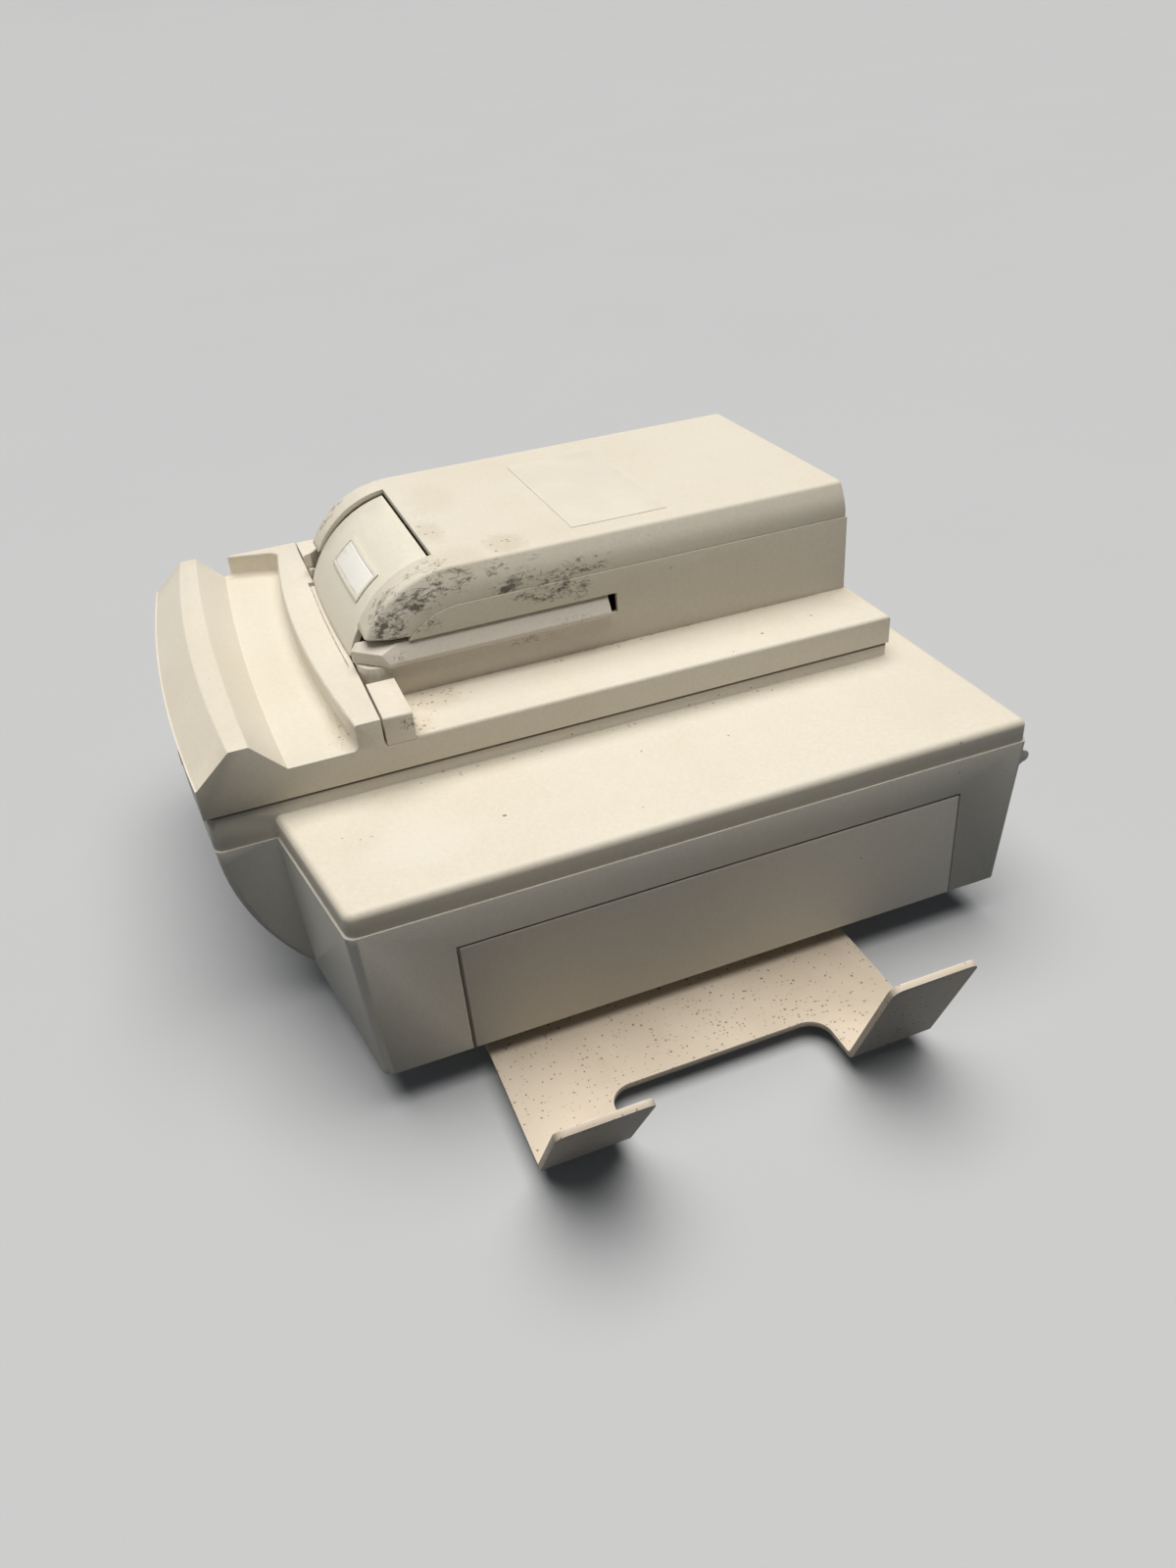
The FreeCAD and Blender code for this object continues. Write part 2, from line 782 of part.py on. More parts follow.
def connector_panel():
    body = new_body("connector_panel")
    start, gap = size.main_half - size.panel_thick, size.socket_fit
    sheet_outline = rectangle(new_sketch(body, "YZ_Plane", start), -size.panel_front + gap, panel_rear - gap,
                              size.wing_floor + size.wall, size.seam_level - size.panel_drop)
    pad(body, sheet_outline, size.panel_thick)
    for middle, half, low, high in socket_windows():
        window = rectangle(new_sketch(body, "YZ_Plane", start), middle - half, middle + half, low, high)
        pocket(body, window, size.panel_thick)


# Upper cover

def cover_plan(body, level, inset):
    half = cover_half - inset
    outer = cover_outer - inset
    slant = (size.wing_front_inner - size.wing_front_outer) / (size.wing_outer - size.main_half)
    front_outer = -size.wing_front_outer + (inset + size.rim_ledge) * (1 + slant)
    front = -size.deck_front + inset + size.rim_ledge
    return outline(new_sketch(body, "XY_Plane", level), [
        (-half, front),
        (half, front, bow_radius(half)),
        (half, front_outer - slant * (outer - half)),
        (outer, front_outer),
        (outer, cover_rear - inset),
        (-half, cover_rear - inset)])


def bow_radius(half):
    # The bowed front keeps its rise over whatever width it spans
    return (half * half + size.deck_bow * size.deck_bow) / (2 * size.deck_bow)


def deck_plan(body, level, half, inset):
    front = -size.deck_front + inset
    return outline(new_sketch(body, "XY_Plane", level), [
        (-half, front), (half, front, bow_radius(half)),
        (half, deck_rear - inset), (-half, deck_rear - inset)])


def upper_cover():
    body = new_body("upper_cover")
    pad(body, cover_plan(body, size.seam_level, 0), size.lid_rise)
    raised = size.band_height - size.lid_rise - size.shadow_gap
    pad(body, deck_plan(body, cover_top, cover_half, size.rim_ledge), raised)
    middle = size.seam_level + size.lid_rise / 2
    dress(body, "Fillet", [point(cover_outer, cover_rear, middle),
                           point(-cover_half, cover_rear, middle)], size.rear_corner)
    dress(body, "Fillet", [point(cover_outer, -size.wing_front_outer, middle),
                           point(-cover_half, -size.deck_front, middle),
                           point(cover_half, -size.deck_front, middle)], size.corner_round)
    dress(body, "Fillet", [point(cover_outer, 0, cover_top)], size.lid_round)
    inner_half = cover_half - size.shadow_depth
    pad(body, deck_plan(body, cover_top + raised, inner_half, size.rim_ledge + size.shadow_depth),
        size.shadow_gap)
    pocket(body, cover_plan(body, size.seam_level, size.wall), size.lid_rise - size.wall)
    roof = deck_base - size.wall - size.seam_level
    pocket(body, deck_plan(body, size.seam_level, inner_half - size.wall,
                           size.rim_ledge + size.shadow_depth + size.wall), roof)
    passage = rectangle(new_sketch(body, "XY_Plane", size.seam_level), -size.cable_pass_half,
                        size.cable_pass_half, -size.cable_pass_front, size.cable_pass_rear)
    pocket(body, passage, size.band_height)
    pad(body, circles(new_sketch(body, "XY_Plane", size.seam_level), deck_case_places, size.post_radius),
        roof + size.wall / 2)
    pad(body, circles(new_sketch(body, "XY_Plane", size.seam_level), lid_case_places, size.post_radius),
        size.lid_rise - size.wall / 2)
    thread = size.screw_radius + size.screw_fit
    pocket(body, circles(new_sketch(body, "XY_Plane", size.seam_level), main_case_places + wing_case_places,
                         thread), size.case_bite + size.screw_fit)
    pocket(body, circles(new_sketch(body, "XY_Plane", deck_base - size.wall), deck_places, size.screw_pass),
           size.wall)


# Deck

def ridge_profile(body, place, bow, back_bow):
    foot = -size.deck_front + size.ridge_inset - bow
    crest_front = foot + size.ridge_front_run
    crest_back = crest_front + size.ridge_crest + bow - back_bow
    base = deck_top - size.deck_skin / 2
    return outline(new_sketch(body, "YZ_Plane", place), [
        (foot, base), (crest_back + size.ridge_back_run, base),
        (crest_back + size.ridge_back_run, deck_top), (crest_back, deck_top + size.ridge_height),
        (crest_front, deck_top + size.ridge_height), (foot, deck_top)])


def dock_platform():
    body = new_body("dock_platform")
    half = deck_half
    pad(body, deck_plan(body, deck_base, half, 0), size.deck_thick)
    loft(body, [ridge_profile(body, -half, 0, 0),
                ridge_profile(body, 0, size.deck_bow, size.ridge_back_bow),
                ridge_profile(body, half, 0, 0)], ruled=False)
    chord = half - size.wedge_width / 2
    step_radius = (chord * chord + size.step_bow * size.step_bow) / (2 * size.step_bow)
    step = outline(new_sketch(body, "XY_Plane", deck_top - size.deck_skin / 2), [
        (-half, -size.step_back), (-half, -size.wedge_front), (size.wedge_width - half, -size.step_front),
        (half, -size.step_front, step_radius), (half, -size.step_back)])
    pad(body, step, size.step_height + size.deck_skin / 2)
    # The closed end of the trough is rounded into the step and the floor
    dress(body, "Fillet", [point(size.wedge_width - half, -size.step_front, deck_top + size.step_height / 2)],
          size.wedge_round)
    dress(body, "Fillet", [point(0, -size.step_front - size.step_bow, deck_top)], size.trough_round)
    crest = deck_top + size.ridge_height
    crest_front = -size.deck_front + size.ridge_inset + size.ridge_front_run
    dress(body, "Fillet", [point(0, crest_front - size.deck_bow, crest),
                           point(0, crest_front + size.ridge_crest - size.ridge_back_bow, crest)],
          size.ridge_round)
    dress(body, "Fillet", [point(0, -size.step_front - size.step_bow, step_top)], size.step_round)
    dress(body, "Fillet", [point(side * half, 0, deck_top) for side in (-1, 1)]
          + [point(0, deck_rear, deck_top)], size.deck_round)
    cavity = size.deck_thick - size.deck_skin
    pocket(body, deck_plan(body, deck_base, half - size.deck_skin, size.deck_skin), cavity)
    pad(body, circles(new_sketch(body, "XY_Plane", deck_base), deck_places, size.post_radius),
        cavity + size.deck_skin / 2)
    thread = size.screw_radius + size.screw_fit
    pocket(body, circles(new_sketch(body, "XY_Plane", deck_base), deck_places, thread),
           size.deck_bite + size.screw_fit)
    roof = deck_top - size.deck_skin
    pocket(body, circles(new_sketch(body, "XY_Plane", roof), saddle_places + block_places, size.screw_pass),
           size.deck_skin)
    passage_front = anchor_front + size.anchor_thick + 2 * size.wall
    passage = rectangle(new_sketch(body, "XY_Plane", roof), -size.cable_pass_half, size.cable_pass_half,
                        passage_front, size.cable_pass_rear)
    pocket(body, passage, size.deck_skin)
    groove_chord = (size.groove_left + size.groove_right) / 2
    groove_radius = (groove_chord * groove_chord + size.groove_bow * size.groove_bow) / (2 * size.groove_bow)
    groove_back = -size.groove_place + size.groove_width
    groove = outline(new_sketch(body, "XY_Plane", step_top - size.groove_depth), [
        (-size.groove_left, -size.groove_place), (size.groove_right, -size.groove_place, groove_radius),
        (size.groove_right, groove_back), (-size.groove_left, groove_back, -groove_radius)])
    pocket(body, groove, size.groove_depth)
    notch = rectangle(new_sketch(body, "XY_Plane", step_top - size.notch_depth),
                      -size.groove_left - size.notch_width, -size.groove_left, -size.groove_place,
                      -size.step_back)
    pocket(body, notch, size.notch_depth)
    # Shallow seats of the two guide blocks
    for side in (-1, 1):
        low, high = sorted((side * block_inner, side * half), key=lambda item: item.value)
        seat = rectangle(new_sketch(body, "XY_Plane", deck_top - size.block_sink), low, high,
                         -size.hump_front, -size.hump_front + size.block_seam + size.block_length)
        pocket(body, seat, size.block_sink + size.step_height)
    lens = rectangle(new_sketch(body, "XZ_Plane", -size.deck_front + size.lens_depth),
                     size.lens_place - size.lens_half, size.lens_place + size.lens_half,
                     deck_base + size.lens_bottom, deck_base + size.lens_bottom + size.lens_height)
    pocket(body, lens, size.lens_depth + 2 * size.deck_bow)
    # Ears for the flap's pivot rod
    for side in (-1, 1):
        low, high = sorted((side * size.ear_inner, side * (size.ear_inner + size.ear_thick)),
                           key=lambda item: item.value)
        ear = rectangle(new_sketch(body, "XY_Plane", roof), low, high, pivot[0] - size.ear_half,
                        pivot[0] + size.ear_half)
        pad(body, ear, size.deck_skin + size.pivot_rise + size.ear_half)
    bore = circles(new_sketch(body, "YZ_Plane", -size.ear_inner - size.ear_thick), [pivot],
                   size.rod_radius + size.rod_fit)
    pocket(body, bore, 2 * (size.ear_inner + size.ear_thick))


def guide_block(side, label):
    body = new_body(label)
    seam = size.block_seam
    low, high = sorted((side * (block_inner + seam), side * deck_half),
                       key=lambda item: item.value)
    front = -size.hump_front + seam
    plan = rectangle(new_sketch(body, "XY_Plane", deck_top - size.block_sink), low, high, front,
                     front + size.block_length)
    pad(body, plan, size.block_sink + size.step_height)
    middle = (front.value + (front + size.block_length).value) / 2
    dress(body, "Fillet", [point(side * deck_half, middle, step_top)], size.step_round)
    # A fine line shows where the block's foot meets the deck's side
    dress(body, "Chamfer", [point(side * deck_half, middle, deck_top - size.block_sink)], seam)
    spot = block_places[0 if side < 0 else 1]
    pocket(body, circles(new_sketch(body, "XY_Plane", deck_top - size.block_sink), [spot],
                         size.screw_radius + size.screw_fit), size.deck_bite + size.screw_fit)


# Saddle

def hump_wall():
    body = new_body("hump_wall")
    half, corner = size.hump_half, size.hump_corner
    front = -size.hump_front
    ring = outline(new_sketch(body, "XY_Plane", deck_top), [
        (-half, hump_rear), (-half, front + corner), (corner - half, front, corner),
        (half - corner, front), (half, front + corner, corner), (half, hump_rear)])
    pad(body, ring, part_level - deck_top)
    inner, inner_corner = half - size.wall, corner - size.wall
    inside = outline(new_sketch(body, "XY_Plane", deck_top), [
        (-inner, hump_rear - size.wall), (-inner, front + corner),
        (inner_corner - inner, front + size.wall, inner_corner),
        (inner - inner_corner, front + size.wall), (inner, front + corner, inner_corner),
        (inner, hump_rear - size.wall)])
    pocket(body, inside, part_level - deck_top)
    # Rail slots, and the front that the crowned cover takes over
    reach = front - size.wall
    arc = size.crown_radius - size.skirt_depth
    rise = slot_top - crown_level
    arc_foot = -size.crown_start - root(arc * arc - rise * rise)
    clear = part_level + size.wall
    window = outline(new_sketch(body, "YZ_Plane", -half), [
        (reach, slot_base), (size.slot_end, slot_base), (size.slot_end, slot_top), (arc_foot, slot_top),
        (-size.crown_start, part_level, -arc), (-size.crown_start, clear), (reach, clear)])
    pocket(body, window, 2 * half)
    clear_half = size.ear_inner + size.ear_thick + size.flap_gap
    mouth = rectangle(new_sketch(body, "XZ_Plane", front + 2 * size.wall), -clear_half, clear_half,
                      deck_top, slot_top)
    pocket(body, mouth, 3 * size.wall)
    pad(body, circles(new_sketch(body, "XY_Plane", deck_top), hump_places, size.hump_post),
        size.hump_post_rise)
    pocket(body, circles(new_sketch(body, "XY_Plane", deck_top), hump_places,
                         size.screw_radius + size.screw_fit), size.hump_bite + size.screw_fit)


def crown_profile(inset, low):
    radius = size.crown_radius - inset
    rise = low - crown_level
    front = -size.crown_start - root(radius * radius - rise * rise)
    return hump_rear - inset, radius, hump_top - inset, front


def hump_cover():
    body = new_body("hump_cover")
    # The cover stands in a little from the wall below, which leaves a fine ledge
    half = size.hump_half - size.skirt_ledge
    low = slot_top + size.skirt_lift
    rear, radius, top, front = crown_profile(0, low)
    rear = rear - size.skirt_ledge
    arc = radius - size.skirt_depth
    rise = low - crown_level
    profile = outline(new_sketch(body, "YZ_Plane", -half), [
        (rear, part_level), (rear, top), (-size.crown_start, top), (front, low, radius),
        (-size.crown_start - root(arc * arc - rise * rise), low),
        (-size.crown_start, part_level, -arc)])
    pad(body, profile, 2 * half)
    inner = half - size.wall
    below = slot_top - size.wall
    inner_rear, radius, top, front = crown_profile(size.wall, below)
    hollow = outline(new_sketch(body, "YZ_Plane", -inner), [
        (inner_rear, below), (inner_rear, top), (-size.crown_start, top), (front, below, radius)])
    pocket(body, hollow, 2 * inner)
    sides = (-1, 1)
    dress(body, "Fillet", [point(side * inner, 0, top) for side in sides], size.hump_inner_round)
    # The sides lean in, with a round foot and a crisp upper crease
    for side in sides:
        bevel(body, side, point(side * half, 0, hump_top), size.hump_slant_drop, size.hump_slant_reach)
    dress(body, "Fillet", [point(side * half, 0, hump_top - size.hump_slant_drop) for side in sides],
          size.hump_side_round)
    dress(body, "Fillet", [point(side * (half - size.hump_slant_reach), 0, hump_top) for side in sides],
          size.hump_crease_round)
    opening_half = size.flap_half + size.flap_gap
    opening = rectangle(new_sketch(body, "XY_Plane", below), -opening_half, opening_half,
                        -size.hump_front - size.wall, -size.flap_top_reach + size.flap_gap)
    pocket(body, opening, size.hump_height)
    dress(body, "Fillet", [point(0, rear, hump_top)], size.hump_rear_round)


# Release flap with a blank nameplate

def flap_centre():
    foot = (-size.flap_foot_reach, deck_top + size.flap_foot_rise)
    tip = (-size.flap_top_reach, deck_top + size.flap_top_rise)
    run, rise = tip[0] - foot[0], tip[1] - foot[1]
    chord = root(run * run + rise * rise)
    height = root(size.flap_radius * size.flap_radius - chord * chord / 4)
    middle = ((foot[0] + tip[0]) / 2, (foot[1] + tip[1]) / 2)
    return middle[0] + rise / chord * height, middle[1] - run / chord * height


def around(centre, radius, angle):
    return centre[0] + radius * cosine(angle), centre[1] + radius * sine(angle)


def flap_axis():
    # The flap bows forward a little across its width, about this upright axis
    radius = (size.flap_half * size.flap_half + size.flap_bow * size.flap_bow) / (2 * size.flap_bow)
    return -size.flap_foot_reach + radius


def release_flap():
    body = new_body("release_flap")
    centre = flap_centre()
    foot = (-size.flap_foot_reach, deck_top + size.flap_foot_rise)
    tip = (-size.flap_top_reach, deck_top + size.flap_top_rise)
    shrink = (size.flap_radius - size.flap_thick) / size.flap_radius
    inner = [tuple(middle + (end - middle) * shrink for middle, end in zip(centre, place))
             for place in (foot, tip)]
    radius, half = size.flap_radius, size.flap_half
    turn(body, [(*foot, radius), inner[0], (*inner[1], -(radius - size.flap_thick)), tip], flap_axis(), half)
    depth, height = (foot[0], -size.crown_start), (pivot[1], hump_top)
    trim_sides(body, -half, half, half / 2, depth, height)
    top_edge = rectangle(new_sketch(body, "XZ_Plane", size.flap_thick - size.flap_top_reach), -half, half,
                         pivot[1], hump_top)
    pocket(body, top_edge, size.flap_thick)
    # Barrel on the pivot rod, web up to the shell, and the arm that pushes the latch
    barrel = size.rod_radius + size.barrel_wall
    pad(body, circles(new_sketch(body, "YZ_Plane", -half), [pivot], barrel), 2 * half)
    skew = barrel * cosine(45)
    web = outline(new_sketch(body, "YZ_Plane", -half), [
        pivot, (inner[0][0], inner[0][1] + size.flap_thick / 2), (inner[0][0], inner[0][1] + size.flap_thick),
        (pivot[0], pivot[1] + skew)])
    pad(body, web, 2 * half)
    middle_radius = radius - size.flap_thick / 2
    arm_back = pivot[0] + size.arm_reach
    arm_ends = []
    for level in (pivot[1] + size.arm_bottom, pivot[1] + size.arm_bottom + size.arm_height):
        rise = level - centre[1]
        arm_ends.append((centre[0] - root(middle_radius * middle_radius - rise * rise), level))
    arm = outline(new_sketch(body, "YZ_Plane", -size.arm_half), [
        arm_ends[0], (arm_back, arm_ends[0][1]), (arm_back, arm_ends[1][1]), arm_ends[1]])
    pad(body, arm, 2 * size.arm_half)
    bore = circles(new_sketch(body, "YZ_Plane", -half), [pivot], size.rod_radius + size.rod_fit)
    pocket(body, bore, 2 * half)


def plate_strip(name, left, right, low_angle, high_angle, inside, outside):
    # A thin strip that follows the flap's double curve
    body = doc.addObject("PartDesign::Body", name)
    centre = flap_centre()
    corners = [around(centre, inside, low_angle), (*around(centre, inside, high_angle), -inside),
               around(centre, outside, high_angle), (*around(centre, outside, low_angle), outside)]
    turn(body, corners, flap_axis(), size.flap_half)
    trim_sides(body, left, right, size.flap_half, (-size.flap_foot_reach, -size.crown_start),
               (step_top, hump_top))
    return body


def nameplate():
    left, right = size.plate_place - size.plate_half, size.plate_place + size.plate_half
    low, high = size.plate_low_angle, size.plate_high_angle
    radius, border = size.flap_radius, size.plate_border
    film = radius + size.plate_film
    sheet = plate_strip("plate_sheet", left, right, low, high, film, radius + size.plate_rise)
    hem = border / radius * DEGREES
    window = plate_strip("plate_window", left + border, right - border, low - hem, high + hem, radius,
                         radius + 2 * size.plate_rise)
    keep(cut("nameplate_frame", sheet, [window]), "nameplate_frame")
    inset = border + size.plate_film
    hem = inset / radius * DEGREES
    keep(plate_strip("nameplate_inlay", left + inset, right - inset, low - hem, high + hem, film,
                     radius + size.inlay_rise), "nameplate_inlay")


# Latch: two rails and the carriage that joins them

def rail(side, label):
    body = new_body(label)
    gap = size.rail_gap
    outer = size.hump_half + size.rail_reach
    rear = size.slot_end - size.latch_travel - gap
    nose = -size.rail_tip + size.nose_run
    plan = outline(new_sketch(body, "XY_Plane", slot_base + gap), [
        (side * size.rail_inner, rear), (side * size.rail_inner, -size.rail_tip + size.nose_inner_run),
        (side * (size.rail_tip_half - size.rail_reach), -size.rail_tip + size.rail_reach),
        (side * size.rail_tip_half, -size.rail_tip), (side * outer, nose), (side * outer, rear)])
    pad(body, plan, size.slot_height - 2 * gap)
    # A long bevel down the outer face, and a flatter one down the slanted nose
    top = slot_top - gap
    bevel(body, side, point(side * outer, 0, top), size.rail_bevel_drop, size.rail_bevel_reach)
    face_mid = point(side * (outer + size.rail_tip_half) / 2, (nose - size.rail_tip) / 2, top)
    nose_bevel = dress(body, "Chamfer", [face_mid], size.rail_bevel_drop)
    nose_bevel.ChamferType = "Two distances"
    nose_bevel.setExpression("Size2", size.nose_bevel_reach.text)
    doc.recompute()


def latch_carriage():
    body = new_body("latch_carriage")
    level = slot_base + size.rail_gap
    post_front = pivot[0] + size.arm_reach + size.post_gap
    plan = outline(new_sketch(body, "XY_Plane", level), [
        (-size.rail_inner, -size.bar_front), (-size.post_half, -size.bar_front),
        (-size.post_half, post_front), (size.post_half, post_front),
        (size.post_half, -size.bar_front), (size.rail_inner, -size.bar_front),
        (size.rail_inner, -size.bar_rear), (-size.rail_inner, -size.bar_rear)])
    pad(body, plan, size.bar_thick)
    post = rectangle(new_sketch(body, "XY_Plane", level + size.bar_thick / 2), -size.post_half,
                     size.post_half, post_front, post_front + size.post_thick)
    pad(body, post, deck_top + size.post_rise - level - size.bar_thick / 2)


def return_springs():
    # Two compression springs between the carriage and their anchor
    level = (slot_base + size.rail_gap + size.bar_thick / 2).value
    wire, turns = size.spring_wire.value, size.spring_turns.value
    free = size.spring_length.value - 4 * wire
    coil = Part.makeHelix(free / turns, free, size.spring_radius.value)
    start = Vector(size.spring_radius.value, 0, 0)
    section = Part.Wire(Part.makeCircle(wire, start, Vector(0, 1, 0)))
    spring = Part.Wire(coil.Edges).makePipeShell([section], True, True)
    solids = []
    for side in (-1, 1):
        copy = spring.copy()
        copy.Placement = Placement(Vector(side * size.spring_place.value,
                                          2 * wire - size.bar_rear.value, level), TURN_TO["+Y"])
        solids.append(copy)
    piece = doc.addObject("Part::Feature", "return_springs")
    piece.Shape = Part.Compound(solids)
    keep(piece, "return_springs")
    bar = box("anchor_bar", (-size.anchor_half, size.anchor_half),
              (anchor_front, anchor_front + size.anchor_thick),
              (deck_top, slot_base + size.rail_gap + size.bar_thick))
    bores = [rod("anchor_bore", size.screw_radius + size.screw_fit, size.hump_bite + size.screw_fit,
                 (x, y, deck_top)) for x, y in anchor_places]
    keep(cut("spring_anchor", bar, bores), "spring_anchor")


# Side door

def side_door():
    body = new_body("side_door")
    gap, half = size.door_gap, size.door_thick / 2
    rear = door_rear - gap
    profile = outline(new_sketch(body, "XZ_Plane", rear), [
        (hinge_x - half, size.wing_floor), (hinge_x + half, size.wing_floor), (hinge_x + half, hinge_z),
        (hinge_x, hinge_z + half, half), (hinge_x - half, hinge_z, half)])
    pad(body, profile, size.door_front + door_rear - 2 * gap)
    pocket(body, circles(new_sketch(body, "XZ_Plane", rear), [(hinge_x, hinge_z)],
                         size.pin_radius + size.pin_fit), size.door_front + door_rear - 2 * gap)
    reach = size.pin_grip - gap
    keep(rod("door_hinge_pin", size.pin_radius, size.door_front + door_rear + 2 * reach,
             (hinge_x, -size.door_front - reach, hinge_z), "+Y"), "door_hinge_pin")


# Cable hanger

def hanger_hook(body, rear, angle):
    # One upturned tab with its bend, over the width beside the notch
    inside, outside = size.bend_radius, size.bend_radius + size.sheet
    across, up = sine(angle), cosine(angle)
    bend = size.bend_place

    def on_bend(radius):
        return bend + radius * across, inside - radius * up

    def hook_end(radius):
        start = on_bend(radius)
        return start[0] + size.hook_length * up, start[1] + size.hook_length * across

    profile = outline(new_sketch(body, "XZ_Plane", rear), [
        (bend - size.sheet, -size.sheet), (bend, -size.sheet), (*on_bend(outside), outside),
        hook_end(outside), hook_end(inside), on_bend(inside), (bend, 0, -inside), (bend - size.sheet, 0)])
    width = size.hanger_half - size.notch_half
    pad(body, profile, width)
    middle = hook_end((inside + outside) / 2)
    dress(body, "Fillet", [point(middle[0], rear - shift, middle[1]) for shift in (0, width)],
          size.hook_round)


def cable_hanger():
    body = new_body("cable_hanger")
    edge, half, corner = size.notch_edge, size.notch_half, size.notch_round
    side, bend = size.hanger_half, size.bend_place
    plate = outline(new_sketch(body, "XY_Plane", -size.sheet), [
        (-size.hanger_inner, -side), (bend, -side), (bend, -half), (edge + corner, -half),
        (edge, corner - half, -corner), (edge, half - corner), (edge + corner, half, -corner),
        (bend, half), (bend, side), (-size.hanger_inner, side)])
    pad(body, plate, size.sheet)
    hanger_hook(body, -half, size.front_hook_angle)
    hanger_hook(body, side, size.rear_hook_angle)
    holes = circles(new_sketch(body, "XY_Plane", -size.sheet), pattern_places + hanger_places,
                    size.hanger_hole)
    pocket(body, holes, size.sheet)


# Base pieces and fasteners

def feet_and_inserts():
    feet = []
    for x, y in both_ways(foot_x, -foot_front, foot_rear):
        foot = doc.addObject("Part::Cone", "foot")
        foot.setExpression("Radius1", (size.foot_radius - size.foot_taper).text)
        foot.setExpression("Radius2", size.foot_radius.text)
        foot.setExpression("Height", size.foot_height.text)
        place_at(foot, x, y, -size.foot_height)
        feet.append(foot)
    group("rubber_feet", feet)
    inserts = []
    for x, y in pattern_places:
        outer = rod("insert_outer", size.insert_radius, size.insert_length, (x, y, 0))
        inner = rod("insert_inner", size.insert_bore, size.insert_length, (x, y, 0))
        inserts.append(cut("insert_one", outer, [inner]))
    group("mounting_inserts", inserts)


def all_screws():
    seat = size.seam_level - size.case_grip
    screws("case_screws", main_case_places + wing_case_places, seat,
           size.case_grip + size.case_bite, "+Z")
    screws("deck_screws", deck_places, deck_base - size.wall, size.wall + size.deck_bite, "+Z")
    roof = deck_top - size.deck_skin
    screws("saddle_screws", saddle_places, roof, size.deck_skin + size.hump_bite, "+Z")
    screws("block_screws", block_places, roof, size.deck_skin - size.block_sink + size.deck_bite, "+Z")
    screws("hanger_screws", hanger_places, -size.sheet,
           size.sheet + size.insert_length - size.screw_fit, "+Z")
    screws("chassis_screws", chassis_places, chassis_top, size.chassis_thick + size.chassis_bite, "-Z")
    screws("board_screws", board_places, board_top, size.board_thick + size.standoff_rise / 2, "-Z")


# Electronics

def electronics():
    chassis = box("chassis_sheet", (-chassis_half, chassis_half),
                  (-size.chassis_front, chassis_rear), (chassis_base, chassis_top))
    holes = [rod("chassis_hole", size.screw_pass, size.chassis_thick, (x, y, chassis_base))
             for x, y in chassis_places]
    keep(cut("chassis_plate", chassis, holes), "chassis_plate")
    standoffs = []
    thread = size.screw_radius + size.screw_fit
    for x, y in board_places:
        pillar = rod("pillar", size.standoff_radius, size.standoff_rise, (x, y, chassis_top))
        bore = rod("pillar_bore", thread, size.standoff_rise / 2 + size.screw_fit,
                   (x, y, board_base), "-Z")
        standoffs.append(cut("standoff", pillar, [bore]))
    group("board_standoffs", standoffs)
    board = box("board_sheet", (-size.board_left, board_right), (-size.board_front, size.board_rear),
                (board_base, board_top))
    holes = [rod("board_hole", size.screw_pass, size.board_thick, (x, y, board_base))
             for x, y in board_places]
    keep(cut("main_board", board, holes), "main_board")
    skin = size.supply_skin
    case = box("supply_case", (-supply_left, -size.supply_right), (-size.supply_front, size.supply_rear),
               (chassis_top, chassis_top + size.supply_height))
    room = box("supply_room", (-supply_left + skin, -size.supply_right - skin),
               (-size.supply_front + skin, size.supply_rear - skin),
               (chassis_top + skin, chassis_top + size.supply_height - skin))
    vents = []
    count = int(size.vent_count.value)
    middle = (size.supply_rear - size.supply_front) / 2
    for number in range(count):
        start = middle + size.vent_pitch * (number - (count - 1) / 2) - size.vent_width / 2
        vents.append(box("vent", (-supply_left, -size.supply_right), (start, start + size.vent_width),
                         (chassis_top + (size.supply_height - size.vent_height) / 2,
                          chassis_top + (size.supply_height + size.vent_height) / 2)))
    keep(cut("power_supply", case, [room] + vents), "power_supply")


